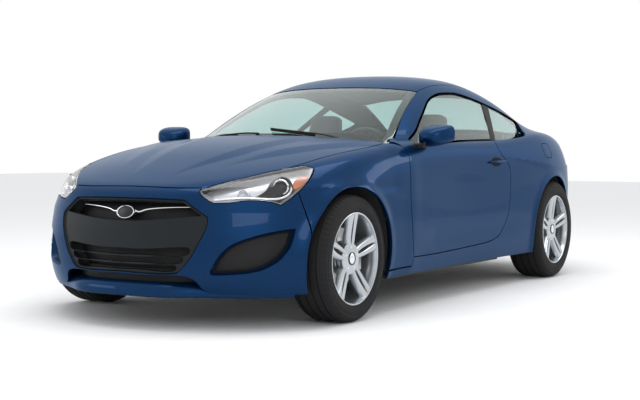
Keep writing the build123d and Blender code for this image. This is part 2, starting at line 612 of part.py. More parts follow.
def king(t0, t1, radius):
    """Cylinder along the left steering axis, measured upwards from the ball joint."""
    frame = Pos(FRONT_AXLE_X, KING_Y, KING_Z) * Rot(KING_LEAN, 0, 0)
    return frame * Pos(0, 0, (t0 + t1) / 2) * Cylinder(radius, t1 - t0)


king_top = (TOWER_TOP_Z - KING_Z) / math.cos(math.radians(KING_LEAN))
front_frame = block(2060, 2090, -500, 500, 400, 500)
for side in (1, -1):
    front_frame = front_frame + block(
        FIREWALL_X + WALL + JOIN_GAP, 2062, side * RAIL_Y - RAIL_HALF, side * RAIL_Y + RAIL_HALF, 400, 500)
tower = block(FRONT_AXLE_X - 110, FRONT_AXLE_X + 110, RAIL_Y - 20, 690, 480, TOWER_TOP_Z)
tower = tower - block(FRONT_AXLE_X - 95, FRONT_AXLE_X + 95, RAIL_Y + 30, 700, 470, TOWER_TOP_Z - TOWER_WALL)
tower = tower - block(FRONT_AXLE_X - 300, FRONT_AXLE_X + 300, 500, 700, 400, 735)
tower = tower - king(400, 800, KING_PIN_R + PLAY)
front_frame = front_frame + tower + right_of(tower)
nodes["front_frame"] = biggest(front_frame)

# inner wheel arches in front
liner = rod_y(FRONT_AXLE_X, FRONT_TYRE_R, 500, 900, LINER_R + LINER_WALL)
liner = liner - rod_y(FRONT_AXLE_X, FRONT_TYRE_R, 490, 910, LINER_R)
liner = liner & side_prism(1050, 1930, 240, 1000, 500, PANEL_WALL + 6)
liner = liner - block(FRONT_AXLE_X - 112, FRONT_AXLE_X + 112, 400, 692, 400, 900) - block(1000, 2000, 0, 510, 0, 900)
liner = liner - nodes["front_bumper"].moved(Location((-JOIN_GAP, -JOIN_GAP, 0)))
nodes["wheel_liners"] = pair(biggest(liner))

# cowl under the windscreen
COWL_Z = 885.0
HOOD_SWEEP = 21.0         # room behind the bonnet's rear edge as it lifts
cowl = block(800, FIREWALL_X - JOIN_GAP, -735, 735, COWL_Z, COWL_Z + 10)
cowl_wall = roof_prism(600, 960, 900, 500, GLASS_WALL + JOIN_GAP) - roof_prism(590, 970, 900, 520, GLASS_WALL + 16)
cowl = cowl + (cowl_wall & block(780, HOOD_REAR_X - HOOD_SWEEP, -690, 690, COWL_Z + 2, 985))
nodes["cowl"] = biggest(cowl - block(700, 1000, 690, 800, 895, 1000))

# pivots of the bonnet and the boot lid
HOOD_PIN = (975.0, 600.0, 936.0)
LID_PIN = (LID_FRONT_X - 12, 350.0, 1015.0)
LID_PIN_R = 5.0
STRAP_HALF = 6.0
beam_top = 940.0
lid_hinges = []
for (x, y, z), foot_z in ((HOOD_PIN, 890.3), (LID_PIN, beam_top + JOIN_GAP)):
    strap = block(x - STRAP_HALF, x + STRAP_HALF, y - STRAP_HALF, y + STRAP_HALF, foot_z, z)
    strap = strap + rod_y(x, z, y - STRAP_HALF, y + STRAP_HALF, STRAP_HALF) + rod_y(x, z, y - 20, y + 20, LID_PIN_R)
    lid_hinges += [strap, right_of(strap)]
for name, (x, y, z) in (("hood", HOOD_PIN), ("trunk_lid", LID_PIN)):
    cut = block(x - 30, x + 14, y - STRAP_HALF - 3, y + STRAP_HALF + 3, z - 40, z + 7)
    cut = block(x - 14, x + 30, y - STRAP_HALF - 3, y + STRAP_HALF + 3, z - 40, z + 7) if name == "trunk_lid" else cut
    cut = cut + rod_y(x, z, y - 22, y + 22, LID_PIN_R + PLAY)
    nodes[name] = biggest(nodes[name] - cut - right_of(cut))
nodes["lid_hinges"] = Compound(children=[s for h in lid_hinges for s in h.solids()])

# engine, radiator, tank and exhaust
nodes["engine"] = fillet(block(1080, 1690, -270, 270, 290.3, 755).edges().filter_by(Axis.X), 30)
nodes["radiator"] = block(2005, 2050, -330, 330, 300, 650) + block(2048, 2059.7, -40, 40, 420, 480)
nodes["fuel_tank"] = fillet(block(-950, -600, 170, 600, 205, REAR_FLOOR_Z - JOIN_GAP).edges().filter_by(Axis.Z), 40)
pipe = Pos(0, -70, 235) * Rot(0, 90, 0) * Cylinder(28, 2 * 1090)
exhaust = pipe + block(-2060, -1880, -500, 500, 215, 330)
exhaust = exhaust + block(-1900, -1080, -98, -42, 207, 263)
exhaust = exhaust + block(1070, 1130, -98, -42, 207, 290)
for tip_y in (-TIP_Y, TIP_Y):
    tip = Pos(TIP_X, tip_y, TIP_Z) * Rot(0, 90, 0) * (Cylinder(TIP_R, 260) - Pos(0, 0, -30) * Cylinder(TIP_R - 4, 260))
    exhaust = exhaust + tip
nodes["exhaust"] = biggest(exhaust)


# ---------------------------------------------------------------- wheels
def tyre(radius, half, bead):
    """Tyre about the Y axis, filled down to the rim."""
    profile = [
        (RIM_R - 11.7, bead - 0.3), (RIM_R + 4, bead - 0.3), (RIM_R + 12, half - 4), (radius - 45, half),
        (radius - 14, half - 8), (radius, half - 26),
    ]
    points = [(r, y) for r, y in profile] + [(r, -y) for r, y in reversed(profile)]
    return revolve(outline(points), Axis.Y)


def rim(half):
    """Rim about the Y axis with five pairs of spokes, its hub and brake disc; outside faces +Y."""
    seat = RIM_R - 12
    wall = 8
    barrel = [
        (seat, -half), (RIM_R, -half), (RIM_R, -half - 8), (seat - wall, -half - 8), (seat - wall, half + 8),
        (RIM_R, half + 8), (RIM_R, half), (seat, half),
    ]
    body = revolve(outline(barrel), Axis.Y)
    face = half - 4
    body = body + Rot(90, 0, 0) * Pos(0, 0, -(face + 10 - 62) / 2 - 31 - 14) * Cylinder(76, face - 18)
    for turn in range(5):
        for skew in (-11, 11):
            spoke = Pos(0, face - 8, 145) * Box(20, 26, 160)
            body = body + Rot(0, 72 * turn + skew, 0) * spoke
    disc = Rot(90, 0, 0) * Cylinder(158, 26)
    bell = Pos(0, (face + DISC_Y) / 2, 0) * Rot(90, 0, 0) * Cylinder(70, face - DISC_Y)
    body = body + Pos(0, DISC_Y, 0) * disc + bell
    bore = Rot(90, 0, 0) * Cylinder(SPINDLE_R + PLAY, 2 * SPINDLE_END)
    return body - bore


DISC_Y = -4.0            # brake disc, measured from the wheel's middle
SPINDLE_END = 70.0
CALIPER_X = 135.0


def caliper(axle_x, z, track):
    """Brake caliper behind the axle, astride the disc."""
    body = block(axle_x - CALIPER_X - 40, axle_x - CALIPER_X + 45, track + DISC_Y - 45, track + DISC_Y + 42, z - 70, z + 70)
    return body - rod_y(axle_x, z, track + DISC_Y - 19, track + DISC_Y + 19, 166)


FRONT_BEAD = FRONT_TYRE_W / 2 - 12.5
REAR_BEAD = REAR_TYRE_W / 2 - 12.5
for end, x, y, radius, half, bead in (
        ("front", FRONT_AXLE_X, FRONT_TRACK_Y, FRONT_TYRE_R, FRONT_TYRE_W / 2, FRONT_BEAD),
        ("rear", REAR_AXLE_X, REAR_TRACK_Y, REAR_TYRE_R, REAR_TYRE_W / 2, REAR_BEAD)):
    both_sides("tyre_" + end, Pos(x, y, radius) * tyre(radius, half, bead))
    both_sides("wheel_" + end, Pos(x, y, radius) * rim(bead))

# front knuckle with strut and caliper
inner_face = FRONT_TRACK_Y + DISC_Y - 45
knuckle = rod_y(FRONT_AXLE_X, FRONT_TYRE_R, KING_Y - 70, inner_face, 46)
knuckle = knuckle + rod_y(FRONT_AXLE_X, FRONT_TYRE_R, KING_Y - 70, FRONT_TRACK_Y + SPINDLE_END - 8, SPINDLE_R)
knuckle = knuckle + king(12, 470, 24) + king(470, king_top - TOWER_WALL - 18, 48)
knuckle = knuckle + king(-22, 20, KING_PIN_R) + king(king_top - TOWER_WALL - 20, king_top - 2, KING_PIN_R)
knuckle = knuckle + caliper(FRONT_AXLE_X, FRONT_TYRE_R, FRONT_TRACK_Y)
knuckle = knuckle + block(FRONT_AXLE_X - 150, FRONT_AXLE_X, KING_Y - 60, inner_face + 2, FRONT_TYRE_R - 30, FRONT_TYRE_R + 30)
both_sides("knuckle", biggest(knuckle))

# front cross-member, steering rack and lower arms
ARM_Z = KING_Z - 16
sub = block(FRONT_AXLE_X - 90, FRONT_AXLE_X + 90, -400, 400, 215, 290)
for side in (1, -1):
    sub = sub + block(FRONT_AXLE_X - 50, FRONT_AXLE_X + 50, side * RAIL_Y - 60, side * RAIL_Y + 25, 215, 400 - JOIN_GAP)
    sub = sub + block(FRONT_AXLE_X - 28, FRONT_AXLE_X + 28, side * 380, side * (KING_Y - 10), ARM_Z - 14, ARM_Z + 8)
    sub = sub + block(FRONT_AXLE_X - 60, FRONT_AXLE_X + 60, side * 370, side * 410, ARM_Z - 14, 230)
eye = king(-28, 2, 28)
hole = king(-60, 12, KING_PIN_R + PLAY) + king(8, 40, 30)
sub = (sub + eye + right_of(eye)) - hole - right_of(hole)
sub = sub + rod_y(FRONT_AXLE_X - 130, 258, -330, 330, 24) + block(FRONT_AXLE_X - 140, FRONT_AXLE_X - 80, -60, 60, 240, 275)
nodes["front_suspension"] = biggest(sub)

# rear cross-member, final drive, shafts, arms and hub carriers
rear = block(REAR_AXLE_X - 90, REAR_AXLE_X + 90, -420, 420, 290, REAR_FLOOR_Z - JOIN_GAP)
rear = rear + block(REAR_AXLE_X - 110, REAR_AXLE_X + 110, 0, 190, 230, 300)
rear = rear + Pos((REAR_AXLE_X + 1080) / 2, 40, 300) * Rot(0, 90, 0) * Cylinder(30, 1080 - REAR_AXLE_X - JOIN_GAP * 2)
inner_rear = REAR_TRACK_Y + DISC_Y - 45
for side in (1, -1):
    rear = rear + block(REAR_AXLE_X - 30, REAR_AXLE_X + 30, side * 380, side * 662, 215, 245)
    rear = rear + block(REAR_AXLE_X - 40, REAR_AXLE_X + 40, side * 380, side * 420, 215, 300)
carrier = rod_y(REAR_AXLE_X, REAR_TYRE_R, 652, inner_rear, 50) + block(REAR_AXLE_X - 45, REAR_AXLE_X + 45, 650, 676, 215, 330)
carrier = carrier + rod_y(REAR_AXLE_X, REAR_TYRE_R, 650, REAR_TRACK_Y + SPINDLE_END - 8, SPINDLE_R)
carrier = carrier + caliper(REAR_AXLE_X, REAR_TYRE_R, REAR_TRACK_Y)
carrier = carrier + block(REAR_AXLE_X - 150, REAR_AXLE_X, 652, inner_rear + 2, REAR_TYRE_R - 30, REAR_TYRE_R + 30)
shaft = rod_y(REAR_AXLE_X, REAR_TYRE_R, 420, 655, 18)
rear = rear + carrier + right_of(carrier) + shaft + right_of(shaft)
rear = rear + block(REAR_AXLE_X - 30, REAR_AXLE_X + 30, 400, 430, 300, 360) + block(REAR_AXLE_X - 30, REAR_AXLE_X + 30, -430, -400, 300, 360)
rear = rear - block(REAR_AXLE_X - 400, REAR_AXLE_X + 400, -600, 600, REAR_FLOOR_Z - JOIN_GAP, 420)
nodes["rear_suspension"] = biggest(rear)


# ---------------------------------------------------------------- cabin
SEAT_Y = 400.0
SEAT_HALF = 235.0
seat = block(-140, 380, SEAT_Y - SEAT_HALF, SEAT_Y + SEAT_HALF, 260, 420)
seat = fillet(seat.edges(), 45) + block(-100, 330, SEAT_Y - 190, SEAT_Y + 190, FLOOR_Z + FLOOR_WALL + JOIN_GAP, 270)
back = Pos(-215, SEAT_Y, 660) * Rot(0, -18, 0) * fillet(Box(110, 2 * SEAT_HALF - 20, 600).edges(), 40)
rest = Pos(-335, SEAT_Y, 1050) * Rot(0, -12, 0) * fillet(Box(90, 260, 170).edges(), 35)
neck = Pos(-312, SEAT_Y, 950) * Rot(0, -18, 0) * Box(14, 120, 120)
seat = seat + back + rest + neck
nodes["seat_left"] = biggest(seat)
nodes["seat_right"] = right_of(nodes["seat_left"])
bench = block(-960, -600, -560, 560, REAR_FLOOR_Z + FLOOR_WALL + JOIN_GAP, 500)
bench_back = Pos(-1065, 0, 655) * Rot(0, -17, 0) * Box(110, 1120, 470)
bench = bench + bench_back + block(-1080, -900, -560, 560, REAR_FLOOR_Z + FLOOR_WALL + JOIN_GAP, 480)
bench = bench - block(-1300, -1164.7, -700, 700, 300, 1000)
nodes["rear_seat"] = biggest(bench)

DASH_HALF = 660.0
DASH_PROFILE = [
    (FIREWALL_X - JOIN_GAP, 560), (FIREWALL_X - JOIN_GAP, 868), (850, 872), (795, 880), (740, 902), (620, 912), (560, 880),
    (540, 740), (600, 600),
]
dash = side_outline(DASH_PROFILE, -DASH_HALF, DASH_HALF)
COLUMN_LEAN = 24.0
WHEEL_CENTRE = (430.0, SEAT_Y, 850.0)
column = Pos(*WHEEL_CENTRE) * Rot(0, 90 + COLUMN_LEAN, 0)
sleeve = column * Pos(0, 0, 140) * (Cylinder(34, 160) - Cylinder(12 + PLAY, 160))
socket = column * Pos(0, 0, 140) * Cylinder(12 + PLAY, 160)
nodes["dashboard"] = biggest(dash + sleeve - socket)
console = block(-330, 560, -105, 105, TUNNEL_TOP_Z + JOIN_GAP, 520)
console = fillet(console.edges().filter_by(Axis.X), 18) + Pos(180, 0, 560) * Cylinder(14, 110)
console = console + Pos(180, 0, 618) * Sphere(24)
nodes["console"] = biggest(console)
ring = column * Torus(178, 15)
hub = column * Cylinder(58, 34)
shaft = column * Pos(0, 0, 110) * Cylinder(12, 200)
arms = column * (Box(26, 340, 14) + Pos(85, 0, 0) * Box(170, 40, 14))
nodes["steering_wheel"] = biggest(ring + hub + shaft + arms)

# wipers on the cowl
wipers = []
for base_y, tip_y, tip_x in ((430, -60, 792), (-120, -600, 800)):
    blade = [(tip_x, tip_y), (tip_x + 40, (base_y + tip_y) / 2), (870, base_y)]
    path = Polyline(*[(x, y, roof_z(x, y) + 20) for x, y in blade])
    arm = sweep(Plane(path @ 0, z_dir=path % 0) * Circle(8), path=path, transition=Transition.ROUND)
    post = Pos(870, base_y, 0) * Cylinder(10, roof_z(870, base_y) + 20 - 895.3, align=(Align.CENTER, Align.CENTER, Align.MIN))
    post = post.moved(Location((0, 0, COWL_Z + 10 + JOIN_GAP)))
    wipers.append(biggest((arm + post) - nodes["cowl"] - nodes["windscreen"]))
nodes["wipers"] = Compound(children=wipers)


# ---------------------------------------------------------------- write the parts
os.makedirs("parts", exist_ok=True)
for name, part in nodes.items():
    export_step(part, "parts/" + name + ".step")
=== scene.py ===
"""Looks of a two-door coupe car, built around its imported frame.

Tables and outlines of the body are in millimetres, as on a body drawing. Meshes are made in metres.
X points forward, Y to the car's left and Z up, with the origin on the ground under the car's middle.
"""
import json
import logging
import math
from dataclasses import dataclass, field
from enum import Enum

import bmesh
import bpy
import numpy as np
from mathutils import Matrix, Vector
from mathutils.geometry import delaunay_2d_cdt

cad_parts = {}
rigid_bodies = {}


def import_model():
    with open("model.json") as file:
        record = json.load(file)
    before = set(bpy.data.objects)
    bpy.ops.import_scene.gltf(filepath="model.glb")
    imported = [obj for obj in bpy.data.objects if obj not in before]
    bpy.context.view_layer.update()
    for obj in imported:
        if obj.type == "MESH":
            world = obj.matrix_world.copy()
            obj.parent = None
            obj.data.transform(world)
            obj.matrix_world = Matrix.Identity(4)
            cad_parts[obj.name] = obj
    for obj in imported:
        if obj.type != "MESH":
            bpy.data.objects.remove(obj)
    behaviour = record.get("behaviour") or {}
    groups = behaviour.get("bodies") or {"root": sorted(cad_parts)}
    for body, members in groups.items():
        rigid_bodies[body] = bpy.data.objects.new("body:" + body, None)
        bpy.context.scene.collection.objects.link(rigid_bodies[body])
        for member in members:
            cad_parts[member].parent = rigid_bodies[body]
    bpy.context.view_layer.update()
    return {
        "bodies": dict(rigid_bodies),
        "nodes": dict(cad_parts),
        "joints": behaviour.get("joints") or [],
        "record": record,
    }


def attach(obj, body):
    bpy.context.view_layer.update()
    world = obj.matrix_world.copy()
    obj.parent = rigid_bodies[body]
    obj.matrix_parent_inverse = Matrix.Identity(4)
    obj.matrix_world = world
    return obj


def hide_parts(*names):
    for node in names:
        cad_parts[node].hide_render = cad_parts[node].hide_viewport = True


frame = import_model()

MM = 0.001
ROOT = "body"
SIDES = (ROOT, ROOT)
DOORS = ("door_left_body", "door_right_body")
log = logging.getLogger("coupe")
logging.basicConfig(level=logging.INFO, format="%(name)s: %(message)s")

Points = np.ndarray
FRONT_AXLE_X = 1495.0
REAR_AXLE_X = -1325.0
FRONT_AXLE_Z = 330.0
REAR_AXLE_Z = 339.0
JOIN_REACH = 3.0
CORNER_TURN = 0.45
WALK_STEPS = 30
WALK_SHARE = 0.95
WALK_REACH = (-60, 300)
CLOSE_STEPS = 8
CLOSE_REACH = (-25, 25)
LEAST_SLOPE = 0.08
CLOTH_FRAMES = 20
CLOTH_PRESSURE = 4.0
CLOTH_STIFFNESS = 25.0
CLOTH_BENDING = 4.0


# ---------------------------------------------------------------- body surface
class Curve:
    """Natural cubic spline through (position, value) pairs."""

    def __init__(self, positions: list[float], values: list[float]) -> None:
        """Solve the spline's bending once.

        Args:
            positions: Where the values stand, in any order.
            values: The value at each position.
        """
        order = np.argsort(positions)
        self.x = np.array(positions, float)[order]
        self.y = np.array(values, float)[order]
        step = np.diff(self.x)
        count = len(self.x)
        matrix = np.eye(count)
        right = np.zeros(count)
        for i in range(1, count - 1):
            matrix[i, i - 1:i + 2] = step[i - 1], 2 * (step[i - 1] + step[i]), step[i]
            right[i] = 6 * ((self.y[i + 1] - self.y[i]) / step[i] - (self.y[i] - self.y[i - 1]) / step[i - 1])
        self.bend = np.linalg.solve(matrix, right)

    def __call__(self, at: Points) -> Points:
        """Value of the spline, held constant past its ends.

        Args:
            at: Positions to read.

        Returns:
            One value for each position.
        """
        at = np.clip(np.asarray(at, float), self.x[0], self.x[-1])
        i = np.clip(np.searchsorted(self.x, at) - 1, 0, len(self.x) - 2)
        span = self.x[i + 1] - self.x[i]
        a = (self.x[i + 1] - at) / span
        b = 1 - a
        cubic = (a**3 - a) * self.bend[i] + (b**3 - b) * self.bend[i + 1]
        return a * self.y[i] + b * self.y[i + 1] + cubic * span * span / 6


def curves(table: list[tuple]) -> list[Curve]:
    """Make one spline for each value column of a table whose first column is the position."""
    columns = list(zip(*table))
    return [Curve(columns[0], column) for column in columns[1:]]


def ease(t: Points) -> Points:
    """Smooth step from 0 to 1."""
    t = np.clip(t, 0, 1)
    return t * t * (3 - 2 * t)


def unit(vectors: Points) -> Points:
    """Vectors scaled to length one; a zero vector stays zero."""
    return vectors / np.maximum(np.linalg.norm(vectors, axis=-1, keepdims=True), 1e-9)


def as_points(*columns: Points | float) -> Points:
    """Points from their coordinates, each an array or one value for all."""
    return np.stack(np.broadcast_arrays(*columns), axis=1)


def run_length(line: Points) -> Points:
    """Distance along a line at each of its points."""
    return np.concatenate([[0], np.cumsum(np.linalg.norm(np.diff(line, axis=0), axis=1))])


def around(count: int) -> Points:
    """Even angles round a full turn, without the last."""
    return np.linspace(0, 2 * math.pi, count, endpoint=False)


def blunt(angle: Points, power: float) -> tuple[Points, Points]:
    """Cosine and sine of angles, pushed towards a square by a power under 1."""
    c, s = np.cos(angle), np.sin(angle)
    return np.sign(c) * np.abs(c) ** power, np.sign(s) * np.abs(s) ** power


def quads(rows: int, count: int, closed: bool = True, looped: bool = False) -> list[tuple]:
    """Faces between rows of points.

    Args:
        rows: Number of rows.
        count: Points in each row.
        closed: Whether each row closes on itself.
        looped: Whether the last row joins the first.

    Returns:
        Tuples of indices into the rows laid end to end.
    """
    faces = []
    for r in range(rows if looped else rows - 1):
        s = (r + 1) % rows
        for i in range(count if closed else count - 1):
            j = (i + 1) % count
            faces.append((r * count + i, r * count + j, s * count + j, s * count + i))
    return faces


def smooth_max(a: Points, b: Points, width: float) -> Points:
    """Larger of two fields, rounded over a width where they meet."""
    share = np.maximum(width - np.abs(a - b), 0) / width
    return np.maximum(a, b) + share**3 * width / 6


# height, nose x, nose roundness, half width at front wheel, door and rear wheel, tail x, tail roundness,
# start of the nose taper
WATERLINES = [
    (140, 2190, 2.50, 868, 840, 860, -2190, 2.9, 1400), (220, 2255, 2.34, 896, 866, 890, -2255, 2.9, 1400),
    (320, 2275, 2.34, 910, 884, 908, -2290, 2.9, 1400), (450, 2280, 2.26, 918, 892, 918, -2304, 2.9, 1400),
    (580, 2270, 2.15, 920, 887, 921, -2310, 2.9, 1400), (700, 2250, 2.10, 916, 884, 921, -2305, 2.9, 1300),
    (800, 2215, 2.20, 902, 884, 916, -2298, 2.8, 1050), (880, 2170, 2.30, 876, 876, 900, -2285, 2.7, 900),
    (950, 2100, 2.30, 838, 850, 872, -2270, 2.6, 900), (1040, 2000, 2.30, 780, 796, 825, -2240, 2.5, 900),]
# x, height at the centre, drop at y 400, drop at y 750
TOP_LINES = [(2310, 520, 20, 60), (2250, 640, 16, 66), (2190, 694, 12, 66), (2110, 728, 10, 62),
             (1900, 796, 9, 50), (1600, 872, 8, 40), (1300, 928, 8, 34), (1000, 966, 8, 32),
             (700, 988, 8, 32), (0, 995, 10, 32), (-900, 1015, 10, 20), (-1500, 1045, 8, 24),
             (-1800, 1032, 8, 40), (-2100, 1012, 10, 60), (-2200, 1005, 12, 75), (-2310, 960, 14, 90),]
# x, height at the centre, drop at y 500
ROOF_LINES = [
    (1250, 760, 40), (1100, 855, 42), (920, 955, 46), (700, 1070, 50), (400, 1210, 50), (130, 1312, 50),
    (-100, 1368, 48), (-300, 1385, 47), (-550, 1382, 48), (-800, 1352, 50), (-1100, 1282, 52),
    (-1400, 1180, 54), (-1680, 1060, 54), (-1900, 950, 54), (-2100, 850, 54), (-2300, 760, 54),]
# x, half width at belt height, lean inwards per mm of height
GLASS_LINES = [(1000, 700, 0.62), (700, 752, 0.64), (300, 792, 0.66), (0, 806, 0.67), (-400, 812, 0.67),
               (-800, 800, 0.66), (-1200, 760, 0.62), (-1600, 690, 0.58), (-2000, 600, 0.55),]


class Skin(Enum):
    """Which part of the body surface a panel lies on."""

    WHOLE = "whole"
    LOWER = "lower"
    CABIN = "cabin"


class BodyForm:
    """Outer surface of the car as a field that is negative inside the paint."""

    TAPER_REAR = -1000.0
    WAIST_X = 100.0
    BELT_Z = 950.0
    CREST = 90.0
    ARCH_EDGE = 372.0
    ARCH_LIFT = 12.0
    ARCH_SPREAD = 38.0
    FRONT_WIDENING = 1300.0
    REAR_WIDENING = 1400.0
    NOSE_FLARE = 1.6
    FLARE_X = 1520.0
    FLARE_RUN = 260.0
    NEAR_Y = 400.0
    FAR_Y = 750.0
    ROOF_Y = 500.0
    GLASS_BULGE = 0.00012
    CABIN_FOOT_Z = 860.0
    SIDE_SLOPE = 0.9
    TOP_SLOPE = 0.97
    GLASS_SLOPE = 0.82
    ROOF_SLOPE = 0.92
    BLEND_LEAST = 20.0
    BLEND_GROWTH = 130.0
    BLEND_X = -500.0
    BLEND_RUN = 700.0
    HOLLOW_DEPTH = 7.0
    HOLLOW_Z = 395.0
    HOLLOW_HEIGHT = 70.0
    DOOR_EDGE_LIFT = 3.5
    DOOR_EDGE_X = 835.0
    DOOR_EDGE_WIDTH = 80.0
    DOOR_EDGE_TOP_Z = 860.0
    RIDGE_RISE = 480.0
    RIDGE_FADE_X = 935.0
    RIDGE_FADE = 170.0
    RIDGE_WIDTH = 14.0
    RIDGE_SHARE = 0.7
    RIDGE_FOOT_Z = 640.0
    RIDGE_FOOT = 60.0
    NORMAL_STEP = 1.5
    RIDGES = ((((2080, 120), (1964, 135), (1722, 179), (1404, 250), (1000, 350)), 10.0, 90.0),
              (((1900, 330), (1677, 382), (1376, 490), (1152, 640), (1000, 745)), 11.0, 110.0),)

    def __init__(self) -> None:
        """Build the splines of the four tables."""
        (self.nose, self.nose_round, self.front, self.door, self.rear, self.tail, self.tail_round,
         self.nose_taper) = curves(WATERLINES)
        self.nose_taper.bend[:] = 0
        self.top_centre, self.top_near, self.top_far = curves(TOP_LINES)
        self.roof_centre, self.roof_drop = curves(ROOF_LINES)
        self.glass_half, self.glass_lean = curves(GLASS_LINES)

    def flat_half(self, x: Points, z: Points) -> Points:
        """Half width of the lower body before its ends taper in.

        Args:
            x: Lengthwise places.
            z: Heights.

        Returns:
            Half width at each point.
        """
        door = self.door(z)
        flat = door + (self.front(z) - door) * ease((x - self.WAIST_X) / self.FRONT_WIDENING)
        flat = flat + (self.rear(z) - door) * ease((self.WAIST_X - x) / self.REAR_WIDENING)
        flare = 1 + self.NOSE_FLARE * ease((x - self.FLARE_X) / self.FLARE_RUN)
        for axle_x, axle_z in ((FRONT_AXLE_X, FRONT_AXLE_Z), (REAR_AXLE_X, REAR_AXLE_Z)):
            off = (np.hypot(x - axle_x, z - axle_z) - self.ARCH_EDGE) / self.ARCH_SPREAD
            flat = flat + flare * self.ARCH_LIFT * np.exp(-off ** 2)
        return flat

    def side_gap(self, x: Points, y: Points, z: Points) -> Points:
        """Distance in plan from the lower body's outline, negative inside.

        Args:
            x: Lengthwise places.
            y: Crosswise places.
            z: Heights.

        Returns:
            Distance at each point.
        """
        taper, flat = self.nose_taper(z), self.flat_half(x, z)
        nose = x > self.WAIST_X
        length = np.where(nose, self.nose(z) - taper, self.TAPER_REAR - self.tail(z))
        along = np.clip(np.where(nose, x - taper, self.TAPER_REAR - x) / length, 0, None)
        n = np.where(nose, self.nose_round(z), self.tail_round(z))
        across = np.maximum(y / flat, 1e-4)
        size = (along**n + across**n) ** (1 / n)
        slope_x = along ** (n - 1) * size ** (1 - n) / length
        slope_y = across ** (n - 1) * size ** (1 - n) / flat
        return (size - 1) / np.hypot(slope_x, slope_y)

    def top_z(self, x: Points, y: Points) -> Points:
        """Height of the lower body's top.

        Args:
            x: Lengthwise places.
            y: Crosswise places.

        Returns:
            Height at each point.
        """
        near, far = self.top_near(x) / self.NEAR_Y**2, self.top_far(x) / self.FAR_Y**2
        fourth = (far - near) / (self.FAR_Y**2 - self.NEAR_Y**2)
        second = near - fourth * self.NEAR_Y**2
        return self.top_centre(x) - second * y**2 - fourth * y**4

    def roof_z(self, x: Points, y: Points) -> Points:
        """Height of the roof and of both big windows."""
        k = np.abs(y) / self.ROOF_Y
        return self.roof_centre(x) - self.roof_drop(x) * (0.6 * k**2 + 0.4 * k**4)

    def glass_y(self, x: Points, z: Points) -> Points:
        """Half width over the side glass."""
        up = z - self.BELT_Z
        return self.glass_half(x) - self.glass_lean(x) * up - self.GLASS_BULGE * up * up

    def relief(self, x: Points, y: Points, z: Points) -> Points:
        """Height of the creases pressed into the panels.

        Args:
            x: Lengthwise places.
            y: Crosswise places.
            z: Heights.

        Returns:
            Height of the creases at each point.
        """
        out = np.zeros_like(x)
        # bonnet: two raised ridges, each falling away outwards
        for line, lift, spread in self.RIDGES:
            xs, ys = zip(*line)
            crease = Curve(xs, ys)(x)
            grow = ease((xs[0] - x) / self.RIDGE_RISE) * ease((x - self.RIDGE_FADE_X) / self.RIDGE_FADE)
            width = self.RIDGE_WIDTH + spread * grow
            fall = np.clip((y - crease) / width, 0, 1)
            foot = ease((z - self.RIDGE_FOOT_Z) / self.RIDGE_FOOT)
            out = out + lift * grow * (self.RIDGE_SHARE - fall) * foot
        # lower door: hollow above the sill bulge
        hollow = np.exp(-((z - self.HOLLOW_Z) / self.HOLLOW_HEIGHT) ** 2)
        hollow = hollow * ease((x + 900) / 500) * ease((760 - x) / 250)
        out = out - self.HOLLOW_DEPTH * hollow
        # front edge of the door, over the hinges
        edge = np.exp(-((x - self.DOOR_EDGE_X) / self.DOOR_EDGE_WIDTH) ** 2)
        return out + self.DOOR_EDGE_LIFT * edge * (z < self.DOOR_EDGE_TOP_Z)

    def field(self, points: Points, skin: Skin = Skin.WHOLE) -> Points:
        """Signed distance-like value, negative inside the body.

        Args:
            points: N by 3 array in millimetres.
            skin: Which surface to read.

        Returns:
            One value for each point, about millimetres near the skin.
        """
        x, y, z = points[:, 0], np.abs(points[:, 1]), points[:, 2]
        low = cabin = None
        if skin is not Skin.CABIN:
            low = smooth_max(self.side_gap(x, y, z) * self.SIDE_SLOPE,
                             (z - self.top_z(x, y)) * self.TOP_SLOPE, self.CREST)
            low = low - self.relief(x, y, z)
        if skin is not Skin.LOWER:
            cabin = smooth_max((y - self.glass_y(x, z)) * self.GLASS_SLOPE,
                               (z - self.roof_z(x, y)) * self.ROOF_SLOPE, self.CREST)
            cabin = np.maximum(cabin, (self.CABIN_FOOT_Z - z) * self.SIDE_SLOPE)
        if skin is Skin.LOWER:
            return low
        if skin is Skin.CABIN:
            return cabin
        blend = self.BLEND_LEAST + self.BLEND_GROWTH * np.clip((self.BLEND_X - x) / self.BLEND_RUN, 0, 1)
        return -smooth_max(-low, -cabin, blend)

    def normals(self, points: Points, skin: Skin) -> Points:
        """Unit normals of the surface by central differences.

        Args:
            points: Points on the surface.
            skin: Skin they lie on.

        Returns:
            One unit normal for each point.
        """
        grads = []
        for axis in range(3):
            step = np.zeros(3)
            step[axis] = self.NORMAL_STEP
            grads.append(self.field(points + step, skin) - self.field(points - step, skin))
        grad = np.stack(grads, axis=1)
        return unit(grad)


FORM = BodyForm()


# ---------------------------------------------------------------- charts from flat outlines to the surface
@dataclass(frozen=True)
class Chart:
    """Flat view of the body along one direction."""

    ray: tuple[float, float, float]
    u_axis: tuple[float, float, float]
    v_axis: tuple[float, float, float]
    far: float = 1800.0

    def flatten(self, points: Points) -> Points:
        """Flat coordinates of points in space."""
        return as_points(points @ np.array(self.u_axis), points @ np.array(self.v_axis))

    def start(self, uv: Points) -> Points:
        """Points outside the body, from which the rays set out."""
        base = uv[:, :1] * np.array(self.u_axis) + uv[:, 1:] * np.array(self.v_axis)
        return base - self.far * np.array(self.ray)

    def rays(self, uv: Points) -> Points:
        """Direction of the ray through each flat point."""
        return np.tile(np.array(self.ray, float), (len(uv), 1))

    def axes(self, uv: Points) -> tuple[Points, Points]:
        """The chart's two flat directions at each flat point."""
        ones = np.ones((len(uv), 1))
        return ones * np.array(self.u_axis), ones * np.array(self.v_axis)


